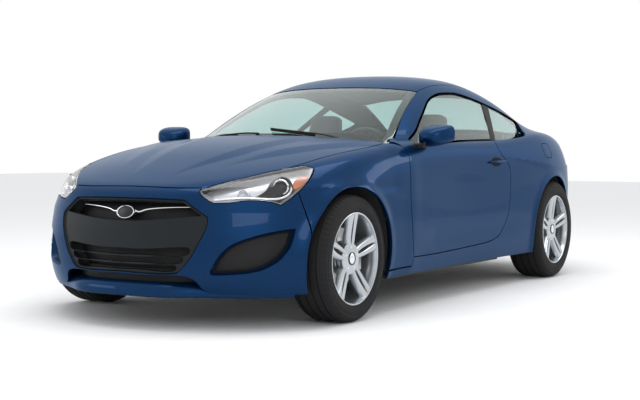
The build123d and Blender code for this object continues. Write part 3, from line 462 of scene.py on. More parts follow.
@dataclass(frozen=True)
class RoundChart:
    """Unrolled view of the nose or tail from a vertical axis on the car's middle plane."""

    centre_x: float
    radius: float
    facing: int

    def flatten(self, points: Points) -> Points:
        """Flat coordinates: arc length round the axis, and height."""
        angle = np.arctan2(points[:, 1], (points[:, 0] - self.centre_x) * self.facing)
        return as_points(angle * self.radius, points[:, 2])

    def rays(self, uv: Points) -> Points:
        """Direction of the ray through each flat point, towards the axis."""
        angle = uv[:, 0] / self.radius
        return -as_points(np.cos(angle) * self.facing, np.sin(angle), 0.0)

    def start(self, uv: Points) -> Points:
        """Points outside the body, from which the rays set out."""
        base = as_points(self.centre_x, 0.0, uv[:, 1])
        return base - self.rays(uv) * 1500.0

    def axes(self, uv: Points) -> tuple[Points, Points]:
        """The chart's two flat directions at each flat point.

        Args:
            uv: Flat points.

        Returns:
            First and second direction at each point.
        """
        angle = uv[:, 0] / self.radius
        along = as_points(-np.sin(angle) * self.facing, np.cos(angle), 0.0)
        return along, np.tile([0.0, 0.0, 1.0], (len(uv), 1))


def slant(degrees: float) -> Chart:
    """Chart of the left side, seen from the side and this much from above."""
    c, s = math.cos(math.radians(degrees)), math.sin(math.radians(degrees))
    return Chart((0, -c, -s), (1, 0, 0), (0, -s, c))


SIDE = slant(0)
TOP = Chart((0, 0, -1), (1, 0, 0), (0, 1, 0))
FRONT = Chart((-1, 0, 0), (0, 1, 0), (0, 0, 1), 3200.0)
REAR = Chart((1, 0, 0), (0, 1, 0), (0, 0, 1), 3200.0)
BACK_TOP = Chart((math.sqrt(0.5), 0, -math.sqrt(0.5)), (0, 1, 0), (math.sqrt(0.5), 0, math.sqrt(0.5)), 3600.0)
NOSE_ROUND = RoundChart(1250.0, 1000.0, 1)
TAIL_ROUND = RoundChart(-1250.0, 1000.0, -1)


def land(chart: Chart | RoundChart, uv: Points, skin: Skin, depth: float = 0.0) -> Points:
    """Find where rays meet the body.

    Args:
        chart: View whose rays are followed.
        uv: Flat coordinates of the rays.
        skin: Surface to meet.
        depth: How far under the surface to stop.

    Returns:
        Points on the surface, in millimetres.
    """
    start, ray = chart.start(uv), chart.rays(uv)
    t = np.zeros(len(uv))
    nearest, nearest_t = np.full(len(uv), np.inf), np.zeros(len(uv))
    for turn in range(WALK_STEPS + CLOSE_STEPS):
        here = start + t[:, None] * ray
        value = FORM.field(here, skin) + depth
        closer = np.abs(value) < nearest
        nearest[closer], nearest_t[closer] = np.abs(value)[closer], t[closer]
        if turn < WALK_STEPS:
            t = t + np.clip(value * WALK_SHARE, *WALK_REACH)
        else:
            slope = FORM.field(here + ray, skin) + depth - value
            t = t - np.clip(value / np.minimum(slope, -LEAST_SLOPE), *CLOSE_REACH)
    return start + nearest_t[:, None] * ray


def spline_path(points: list[tuple], pitch: float, closed: bool = False) -> Points:
    """Even points along a smooth curve through the given ones, sharp where a point is given twice.

    Args:
        points: Corner points in 2 or 3 dimensions.
        pitch: Spacing of the result.
        closed: Whether the last point joins the first.

    Returns:
        Points along the curve, without the last where it is closed.
    """
    pts = [np.array(p, float) for p in points]
    runs, run = [], [pts[0]]
    for p in pts[1:]:
        if np.allclose(p, run[-1]):
            runs.append(run)
            run = [p]
        else:
            run.append(p)
    runs.append(run)
    out = []
    for run in runs:
        if len(run) < 2:
            continue
        a = np.array(run)
        knot = np.concatenate([[0], np.cumsum(np.sqrt(np.linalg.norm(np.diff(a, axis=0), axis=1)))])
        fine = np.linspace(0, knot[-1], 40 * len(a))
        if len(a) > 2:
            line = np.stack([Curve(knot, a[:, i])(fine) for i in range(a.shape[1])], axis=1)
        else:
            line = a[0] + (a[1] - a[0]) * (fine / knot[-1])[:, None]
        length = run_length(line)
        count = max(2, int(round(length[-1] / pitch)) + 1)
        even = np.linspace(0, length[-1], count)
        piece = np.stack([np.interp(even, length, line[:, i]) for i in range(a.shape[1])], axis=1)
        out.append(piece if not out else piece[1:])
    path = np.concatenate(out)
    return path[:-1] if closed and np.allclose(path[0], path[-1]) else path


def resample(loop: Points, pitch: float) -> Points:
    """Even points along each run of a closed loop, with its corners kept.

    Args:
        loop: Closed flat loop, its first point not repeated.
        pitch: Spacing wanted.

    Returns:
        The loop with points about a pitch apart.
    """
    before = loop - np.roll(loop, 1, axis=0)
    after = np.roll(loop, -1, axis=0) - loop
    turn = np.arctan2(before[:, 0] * after[:, 1] - before[:, 1] * after[:, 0], (before * after).sum(axis=1))
    corners = [i for i in range(len(loop)) if abs(turn[i]) > CORNER_TURN] or [0]
    out = []
    for start, stop in zip(corners, corners[1:] + [corners[0] + len(loop)]):
        run = loop[np.arange(start, stop + 1) % len(loop)]
        length = run_length(run)
        count = max(1, int(round(length[-1] / pitch)))
        even = np.linspace(0, length[-1], count + 1)[:-1]
        out.append(np.stack([np.interp(even, length, run[:, k]) for k in range(2)], axis=1))
    return np.concatenate(out)


def signed_area(loop: Points) -> float:
    """Area of a flat loop, positive when it runs anticlockwise."""
    nxt = np.roll(loop, -1, axis=0)
    return 0.5 * float(np.sum(loop[:, 0] * nxt[:, 1] - loop[:, 1] * nxt[:, 0]))


def outward(loop: Points) -> Points:
    """Unit flat normals of a loop that point out of it."""
    tangent = np.roll(loop, -1, axis=0) - np.roll(loop, 1, axis=0)
    return unit(as_points(tangent[:, 1], -tangent[:, 0])) * math.copysign(1, signed_area(loop))


def inset(loop: Points, amount: float) -> Points:
    """Loop moved inwards by an amount, with its corners mitred.

    Args:
        loop: Closed flat loop.
        amount: How far to move it.

    Returns:
        The moved loop.
    """
    edge = unit(np.roll(loop, -1, axis=0) - loop)
    side = as_points(edge[:, 1], -edge[:, 0]) * math.copysign(1, signed_area(loop))
    before = np.roll(side, 1, axis=0)
    mitre = side + before
    scale = np.clip(2 / np.maximum((mitre**2).sum(axis=1), 0.5), 1, 2)
    return loop - mitre * 0.5 * (amount * scale)[:, None]


def inside(points: Points, loop: Points) -> Points:
    """Whether each flat point lies inside a loop.

    Args:
        points: Flat points.
        loop: Closed flat loop.

    Returns:
        True for each point inside.
    """
    result = np.zeros(len(points), bool)
    x, y = points[:, 0], points[:, 1]
    for (x1, y1), (x2, y2) in zip(loop, np.roll(loop, -1, axis=0)):
        if y1 == y2:
            continue
        crosses = (y1 > y) != (y2 > y)
        result ^= crosses & (x < (x2 - x1) * (y - y1) / (y2 - y1) + x1)
    return result


def near_loop(points: Points, loop: Points, reach: float) -> Points:
    """Whether each flat point lies within reach of a loop's edges.

    Args:
        points: Flat points.
        loop: Closed flat loop.
        reach: Largest distance that counts.

    Returns:
        True for each point within reach.
    """
    result = np.zeros(len(points), bool)
    for a, b in zip(loop, np.roll(loop, -1, axis=0)):
        low = np.minimum(a, b) - reach
        high = np.maximum(a, b) + reach
        pick = np.nonzero(np.all((points > low) & (points < high), axis=1) & ~result)[0]
        if not len(pick):
            continue
        ab = b - a
        t = np.clip(((points[pick] - a) @ ab) / max(float(ab @ ab), 1e-9), 0, 1)
        gap = np.linalg.norm(points[pick] - a - t[:, None] * ab, axis=1)
        result[pick[gap < reach]] = True
    return result


def place_object(name: str, data: bpy.types.ID) -> bpy.types.Object:
    """Make an object of some data and link it to the scene.

    Args:
        name: Object name.
        data: Mesh, light or camera.

    Returns:
        The linked object.
    """
    obj = bpy.data.objects.new(name, data)
    bpy.context.scene.collection.objects.link(obj)
    return obj


def new_mesh(name: str, verts: list[Points], faces: list[tuple], mirror: bool) -> bpy.types.Mesh:
    """Make a mesh in metres.

    Args:
        name: Its name.
        verts: Patches of vertices, in millimetres.
        faces: Tuples of indices into all patches.
        mirror: Whether to make the right-hand twin.

    Returns:
        The mesh.
    """
    places = np.concatenate(verts) * MM
    if mirror:
        places = places * (1, -1, 1)
        faces = [tuple(reversed(f)) for f in faces]
    mesh = bpy.data.meshes.new(name)
    mesh.from_pydata(places.tolist(), [], faces)
    return mesh


class Mesher:
    """Collects vertices, faces and normals, and turns them into one Blender object."""

    def __init__(self) -> None:
        """Start empty."""
        self.verts: list[Points] = []
        self.faces: list[tuple] = []
        self.normals: list[Points] = []
        self.count = 0

    def add(self, verts: Points, faces: list[tuple], normals: Points) -> int:
        """Add a patch.

        Args:
            verts: N by 3 array in millimetres.
            faces: Tuples of indices into the patch.
            normals: One unit normal for each vertex.

        Returns:
            Index of the patch's first vertex in the whole mesh.
        """
        base = self.count
        self.verts.append(verts)
        self.normals.append(normals)
        self.faces += [tuple(i + base for i in f) for f in faces]
        self.count += len(verts)
        return base

    def join(self, other: "Mesher") -> None:
        """Take over all patches of another mesh.

        Args:
            other: Mesh to take from.
        """
        for verts, normals in zip(other.verts, other.normals):
            self.verts.append(verts)
            self.normals.append(normals)
        self.faces += [tuple(i + self.count for i in f) for f in other.faces]
        self.count += other.count

    def build(self, name: str, mirror: bool = False) -> bpy.types.Object:
        """Make the object.

        Args:
            name: Object name.
            mirror: Whether to build the right-hand twin.

        Returns:
            The linked object, in metres.
        """
        mesh = new_mesh(name, self.verts, self.faces, mirror)
        normals = np.concatenate(self.normals) * (1, -1 if mirror else 1, 1)
        mesh.polygons.foreach_set("use_smooth", [True] * len(mesh.polygons))
        mesh.normals_split_custom_set_from_vertices(normals.tolist())
        return place_object(name, mesh)


@dataclass
class Panel:
    """One smooth piece of the body, cut along shut lines and turned in at its edges."""

    ROW_HEIGHT = 0.87
    EDGE_SHARE = 0.8
    CLEAR_SHARE = 0.55
    EDGE_STEPS = ((0.0, 0.0, 0.0), (0.7, 0.3, 0.8), (1.0, 1.0, 1.0))

    chart: Chart | RoundChart
    outline: Points
    skin: Skin = Skin.WHOLE
    holes: list[Points] = field(default_factory=list)
    gap: float = 2.2
    lip: float = 1.6
    turn_in: float = 16.0
    pitch: float = 14.0
    depth: float = 0.0
    wall: float = 0.0
    short_behind: float = -math.inf
    short_turn: float = 2.2

    def flat_loops(self) -> list[Points]:
        """Outline and holes in the chart, moved back from the shut lines by half a gap.

        Returns:
            Outline first, then the holes.
        """
        loops = []
        for i, line in enumerate([self.outline, *self.holes]):
            flat = resample(self.chart.flatten(line), self.pitch * self.EDGE_SHARE)
            loops.append(inset(flat, (self.gap + self.lip) * (1 if i == 0 else -1)))
        return loops

    @staticmethod
    def within(points: Points, loops: list[Points]) -> Points:
        """Whether each flat point lies inside the first loop and outside the others.

        Args:
            points: Flat points.
            loops: Outline first, then its holes.

        Returns:
            One truth value for each point.
        """
        keep = inside(points, loops[0])
        for hole in loops[1:]:
            keep &= ~inside(points, hole)
        return keep

    def mesh(self) -> Mesher:
        """Triangulate the outline, lay it on the body and turn its edges in.

        Returns:
            The panel's mesh, not yet an object.
        """
        pitch = self.pitch * 1.0
        loops = [resample(loop, pitch * self.EDGE_SHARE) for loop in self.flat_loops()]
        low, high = loops[0].min(axis=0), loops[0].max(axis=0)
        us = np.arange(low[0], high[0], pitch)
        vs = np.arange(low[1], high[1], pitch * self.ROW_HEIGHT)
        grid = np.stack(np.meshgrid(us, vs, indexing="ij"), axis=-1)
        grid[:, 1::2, 0] += pitch / 2
        grid = grid.reshape(-1, 2)
        grid = grid[self.within(grid, loops)]
        for loop in loops:
            grid = grid[~near_loop(grid, loop, pitch * self.CLEAR_SHARE)]
        flat = np.concatenate([*loops, grid])
        edges, base = [], 0
        for loop in loops:
            edges += [(base + i, base + (i + 1) % len(loop)) for i in range(len(loop))]
            base += len(loop)
        verts2, _, faces, _, _, _ = delaunay_2d_cdt([Vector(p) for p in flat], edges, [], 0, 1e-3)
        flat = np.array([tuple(v) for v in verts2])
        tris = np.array([f for f in faces if len(f) == 3])
        tris = tris[self.within(flat[tris].mean(axis=1), loops)]
        verts = land(self.chart, flat, self.skin, self.depth)
        normals = FORM.normals(verts, self.skin)
        a, b, c = (verts[tris[:, i]] for i in range(3))
        flip = np.sum(np.cross(b - a, c - a) * normals[tris[:, 0]], axis=1) < 0
        tris[flip] = tris[flip][:, ::-1]
        out = Mesher()
        out.add(verts, [tuple(t) for t in tris.tolist()], normals)
        for i, loop in enumerate(loops):
            self.edge_strip(out, loop, -1 if i else 1)
        if self.wall:
            back = land(self.chart, flat, self.skin, self.depth + self.wall)
            out.add(back, [tuple(reversed(t)) for t in tris.tolist()], -normals)
        return out

    def edge_strip(self, out: Mesher, loop: Points, side: int) -> None:
        """Round a loop's edge over and turn it in.

        Args:
            out: Mesh to add to.
            loop: Flat loop along the edge.
            side: 1 for the outline and -1 for a hole.
        """
        ring = land(self.chart, loop, self.skin, self.depth)
        normal = FORM.normals(ring, self.skin)
        along_u, along_v = self.chart.axes(loop)
        flat_out = outward(loop) * side
        away = along_u * flat_out[:, :1] + along_v * flat_out[:, 1:]
        away = unit(away - normal * np.sum(away * normal, axis=1, keepdims=True))
        turn = np.where(ring[:, :1] < self.short_behind, self.short_turn,
                        self.wall or self.turn_in) / self.lip
        rings = [*self.EDGE_STEPS, (1.0, turn, 1.0)]
        count = len(loop)
        verts = [ring + away * (o * self.lip) - normal * (d * self.lip) for o, d, _ in rings]
        norms = [unit(normal * (1 - t) + away * t) for _, _, t in rings]
        faces = quads(len(rings), count)
        stack = np.concatenate(verts)
        a, b, c = (stack[np.array([f[k] for f in faces])] for k in (0, 1, 2))
        facing = np.sum(np.cross(b - a, c - a) * np.concatenate(norms)[[f[0] for f in faces]], axis=1)
        middle = np.median(facing[count:2 * count]) if len(facing) > 2 * count else 1.0
        if middle < 0:
            faces = [tuple(reversed(f)) for f in faces]
        out.add(stack, faces, np.concatenate(norms))


def surface_line(points: list[tuple], chart: Chart | RoundChart, skin: Skin = Skin.WHOLE,
                 pitch: float = 10.0, closed: bool = False) -> Points:
    """Curve drawn in a chart and laid on the body.

    Args:
        points: Flat points, given twice at sharp corners.
        chart: View in which they are drawn.
        skin: Surface to lie on.
        pitch: Spacing of the result.
        closed: Whether the curve closes on itself.

    Returns:
        Points on the surface, in millimetres.
    """
    return land(chart, spline_path(points, pitch, closed), skin)


def nose_line(points: list[tuple], pitch: float, closed: bool = False) -> Points:
    """Curve through points in space, laid on the nose."""
    return land(NOSE_ROUND, NOSE_ROUND.flatten(spline_path(points, pitch, closed)), Skin.LOWER)


def mirrored(line: Points) -> Points:
    """The same line on the other side, run backwards."""
    return line[::-1] * (1, -1, 1)


def join(*lines: Points) -> Points:
    """Lines one after another as one loop, without doubled points.

    Args:
        lines: Lines in the order of the loop.

    Returns:
        The loop.
    """
    out = [lines[0]]
    for line in lines[1:]:
        rest = line[1:] if np.linalg.norm(line[0] - out[-1][-1]) < JOIN_REACH else line
        if len(rest):
            out.append(rest)
    loop = np.concatenate(out)
    return loop[:-1] if np.linalg.norm(loop[0] - loop[-1]) < JOIN_REACH else loop


def doubled(half: Points) -> Points:
    """Closed loop of a line from middle to middle and its mirror image."""
    return join(half, mirrored(half))


# ---------------------------------------------------------------- finishes
class Nodes:
    """Short hand for building a material's node tree."""

    def __init__(self, name: str) -> None:
        """Make a material with a bare Principled surface.

        Args:
            name: The material's name.
        """
        self.material = bpy.data.materials.new(name)
        self.material.use_nodes = True
        self.tree = self.material.node_tree
        self.shader = self.tree.nodes["Principled BSDF"]

    def node(self, kind: str, **settings: object) -> bpy.types.Node:
        """Add a node and set its properties.

        Args:
            kind: The node's type.
            settings: Properties to set on it.

        Returns:
            The node.
        """
        made = self.tree.nodes.new(kind)
        for key, value in settings.items():
            setattr(made, key, value)
        return made

    def link(self, source: bpy.types.NodeSocket, target: bpy.types.NodeSocket) -> None:
        """Join two sockets."""
        self.tree.links.new(source, target)

    def set(self, **values: object) -> None:
        """Set sockets of the shader by name, with spaces written as underscores."""
        for key, value in values.items():
            self.shader.inputs[key.replace("_", " ")].default_value = value

    def noise(self, scale: float, detail: float = 2.0, rough: float = 0.5) -> bpy.types.Node:
        """Noise texture in object coordinates.

        Args:
            scale: Fineness of the noise.
            detail: Number of finer layers.
            rough: Strength of the finer layers.

        Returns:
            The texture node.
        """
        place = self.node("ShaderNodeTexCoord")
        made = self.node("ShaderNodeTexNoise")
        made.inputs["Scale"].default_value = scale
        made.inputs["Detail"].default_value = detail
        made.inputs["Roughness"].default_value = rough
        self.link(place.outputs["Object"], made.inputs["Vector"])
        return made

    def ramp(self, source: bpy.types.NodeSocket, stops: list[tuple[float, tuple]]) -> bpy.types.Node:
        """Colour ramp through (position, colour) stops.

        Args:
            source: Socket that drives it.
            stops: Positions with their colours.

        Returns:
            The ramp node.
        """
        made = self.node("ShaderNodeValToRGB")
        while len(made.color_ramp.elements) < len(stops):
            made.color_ramp.elements.new(0.5)
        for element, (place, colour) in zip(made.color_ramp.elements, stops):
            element.position = place
            element.color = (*colour, 1.0)
        self.link(source, made.inputs["Fac"])
        return made

    def bump(self, height: bpy.types.NodeSocket, distance: float, strength: float = 1.0) -> None:
        """Bump the surface by a height.

        Args:
            height: Socket with the height.
            distance: Depth of the bumps in metres.
            strength: Their strength.
        """
        made = self.node("ShaderNodeBump")
        made.inputs["Distance"].default_value = distance
        made.inputs["Strength"].default_value = strength
        self.link(height, made.inputs["Height"])
        self.link(made.outputs["Normal"], self.shader.inputs["Normal"])


@dataclass(frozen=True)
class Finish:
    """A surface with slight variation of colour and roughness, and a fine grain."""

    name: str
    colour: tuple[float, float, float]
    roughness: float
    metallic: float = 0.0
    vary: float = 0.06
    grain: float = 0.0
    grain_scale: float = 900.0
    coat: float = 0.0
    specular: float = 0.5
    sheen: float = 0.0

    def make(self) -> bpy.types.Material:
        """Build the material.

        Returns:
            The material.
        """
        n = Nodes(self.name)
        n.set(Metallic=self.metallic, Coat_Weight=self.coat, Coat_Roughness=0.03, Sheen_Weight=self.sheen,
              Specular_IOR_Level=self.specular)
        cloud = n.noise(9.0, 4.0)
        dark = tuple(c * (1 - self.vary) for c in self.colour)
        light = tuple(min(1.0, c * (1 + self.vary)) for c in self.colour)
        n.link(n.ramp(cloud.outputs["Fac"], [(0.3, dark), (0.7, light)]).outputs["Color"],
               n.shader.inputs["Base Color"])
        span = n.node("ShaderNodeMapRange")
        span.inputs["To Min"].default_value = max(0.0, self.roughness * 0.85)
        span.inputs["To Max"].default_value = min(1.0, self.roughness * 1.15)
        n.link(cloud.outputs["Fac"], span.inputs["Value"])
        n.link(span.outputs["Result"], n.shader.inputs["Roughness"])
        if self.grain:
            n.bump(n.noise(self.grain_scale, 2.0).outputs["Fac"], self.grain)
        return n.material


@dataclass(frozen=True)
class CarPaint:
    """Dark blue metallic paint under clear lacquer, with fine flakes."""

    name: str = "paint_blue_metallic"
    deep: tuple[float, float, float] = (0.0010, 0.014, 0.050)
    bright: tuple[float, float, float] = (0.0030, 0.040, 0.125)
    edge: tuple[float, float, float] = (0.42, 0.62, 0.90)
    flake_scale: float = 2600.0

    def make(self) -> bpy.types.Material:
        """Build the material.

        Returns:
            The material.
        """
        n = Nodes(self.name)
        n.set(Metallic=0.72, Roughness=0.36, Coat_Weight=0.30, Coat_Roughness=0.02, Coat_IOR=1.36,
              Specular_IOR_Level=0.08, Specular_Tint=(*self.edge, 1.0))
        flakes = n.node("ShaderNodeTexVoronoi")
        flakes.inputs["Scale"].default_value = self.flake_scale
        place = n.node("ShaderNodeTexCoord")
        n.link(place.outputs["Object"], flakes.inputs["Vector"])
        ramp = n.ramp(flakes.outputs["Color"], [(0.25, self.deep), (0.85, self.bright)])
        n.link(ramp.outputs["Color"], n.shader.inputs["Base Color"])
        return n.material


@dataclass(frozen=True)
class Glass:
    """Clear sheet with a tint."""

    name: str
    tint: tuple[float, float, float]
    roughness: float = 0.0
    ior: float = 1.45
    dirt: float = 0.02

    def make(self) -> bpy.types.Material:
        """Build the material.

        Returns:
            The material.
        """
        n = Nodes(self.name)
        n.set(Transmission_Weight=1.0, Roughness=self.roughness, IOR=self.ior)
        film = n.noise(3.0, 3.0)
        dull = tuple(c * (1 - self.dirt) for c in self.tint)
        n.link(n.ramp(film.outputs["Fac"], [(0.35, dull), (0.65, self.tint)]).outputs["Color"],
               n.shader.inputs["Base Color"])
        return n.material


class Finishes:
    """All materials of the car, made once."""

    def __init__(self) -> None:
        """Build every material."""
        self.paint = CarPaint().make()
        self.glass = Glass("glass_green_tint", (0.62, 0.80, 0.78)).make()
        self.lens = Glass("lens_clear", (0.97, 0.98, 1.0), 0.0, 1.35).make()
        self.red_lens = Glass("lens_red", (0.55, 0.01, 0.012), 0.05, 1.4).make()
        self.black = Finish("plastic_black_grained", (0.010, 0.010, 0.011), 0.6, grain=0.0002,
                            specular=0.25).make()
        self.gloss_black = Finish("plastic_black_gloss", (0.004, 0.004, 0.005), 0.22, specular=0.3).make()
        self.grille_grey = Finish("plastic_dark_grey", (0.007, 0.010, 0.012), 0.45, grain=0.00015,
                                  specular=0.22).make()
        self.rubber = Finish("rubber_seal", (0.006, 0.006, 0.006), 0.7, specular=0.15).make()
        self.chrome = Finish("chrome_bright", (0.80, 0.81, 0.83), 0.07, metallic=1.0, vary=0.02).make()
        self.reflector = Finish("reflector_silver", (0.78, 0.79, 0.81), 0.32, metallic=0.5, vary=0.03).make()
        self.amber = Finish("lens_amber", (0.62, 0.16, 0.04), 0.16, coat=0.8).make()
        self.alloy = Finish("alloy_silver_painted", (0.46, 0.49, 0.52), 0.24, metallic=0.85, coat=0.5,
                            vary=0.03).make()
        self.tyre = Finish("rubber_tyre", (0.011, 0.011, 0.012), 0.78, grain=0.0003, grain_scale=400,
                           specular=0.22).make()
        self.steel = Finish("steel_machined", (0.42, 0.41, 0.40), 0.32, metallic=1.0, vary=0.12).make()
        self.chassis = Finish("steel_underseal", (0.030, 0.030, 0.032), 0.62, grain=0.0006,
                              grain_scale=250).make()
        self.cast = Finish("aluminium_cast", (0.40, 0.40, 0.39), 0.48, metallic=0.9, grain=0.0003,
                           vary=0.1).make()
        self.headliner = Finish("cloth_headliner", (0.42, 0.41, 0.39), 0.85, grain=0.0003,
                                grain_scale=1200).make()
        self.carpet = Finish("carpet_dark", (0.020, 0.020, 0.021), 0.95, grain=0.0008, grain_scale=900,
                             sheen=0.3).make()
        self.plate = Finish("plate_blank", (0.62, 0.62, 0.60), 0.35).make()
        self.cabin = Finish("cabin_plastic_dark", (0.022, 0.022, 0.024), 0.58, grain=0.0002,
                            grain_scale=1400).make()
        self.leather = Finish("leather_black", (0.024, 0.023, 0.023), 0.46, grain=0.0005, grain_scale=700,
                              sheen=0.1).make()


def put(obj: bpy.types.Object, body: str, material: bpy.types.Material, *nodes: str,
        slot: str = "") -> bpy.types.Object:
    """Dress a piece and tie it to its body.

    Args:
        obj: The piece.
        body: Body it rides on.
        material: Its finish.
        nodes: Frame nodes it stands for.
        slot: Material slot of the record; not used.

    Returns:
        The same piece.
    """
    obj.data.materials.clear()
    obj.data.materials.append(material)
    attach(obj, body)
    if nodes:
        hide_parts(*nodes)
    return obj


def one(shape: "Mesher | Parts", name: str, material: bpy.types.Material, slot: str, *nodes: str,
        body: str = ROOT, **build: float) -> bpy.types.Object:
    """Build one piece.

    Args:
        shape: Its shape.
        name: Its name.
        material: Its finish.
        slot: Material slot of the record it takes.
        nodes: Frame nodes it stands for.
        body: Body it rides on.
        build: Further settings of the shape's build.

    Returns:
        The piece.
    """
    log.info("building %s", name)
    return put(shape.build(name, **build), body, material, *nodes, slot=slot)


def both(shape: "Mesher | Parts", name: str, bodies: tuple[str, str], material: bpy.types.Material,
         slot: str, node: str = "", **build: float) -> list[bpy.types.Object]:
    """Build a left piece and its right twin.

    Args:
        shape: Shape of the left piece.
        name: Name without its side.
        bodies: Bodies of the left and right piece.
        material: Finish.
        slot: Material slot.
        node: Frame node without its side, if the pieces stand for one.
        build: Further settings of the shape's build.

    Returns:
        The two pieces.
    """
    made = []
    for side, body in zip(("left", "right"), bodies):
        nodes = (f"{node}_{side}",) if node else ()
        made.append(one(shape, f"{name}_{side}", material, slot, *nodes, body=body, mirror=side == "right",
                        **build))
    return made


# ---------------------------------------------------------------- shut lines of the left side
def arc(centre_x: float, centre_z: float, radius: float, start: float, stop: float,
        pitch: float = 12.0) -> Points:
    """Flat points along an arc, angles in degrees from straight ahead upwards.

    Args:
        centre_x: The centre's place lengthwise.
        centre_z: The centre's height.
        radius: Radius.
        start: First angle.
        stop: Last angle.
        pitch: Distance between points.

    Returns:
        The points, in order.
    """
    count = max(3, int(abs(stop - start) * math.pi / 180 * radius / pitch))
    angle = np.radians(np.linspace(start, stop, count))
    return as_points(centre_x + radius * np.cos(angle), centre_z + radius * np.sin(angle))


def facing(ray: tuple[float, float, float]) -> Chart:
    """Chart that looks along a direction.

    Args:
        ray: Direction to look along.

    Returns:
        The chart.
    """
    along = Vector(ray).normalized()
    side = along.cross(Vector((0, 0, 1))).normalized()
    return Chart(tuple(along), tuple(side), tuple(side.cross(along)), 2400.0)


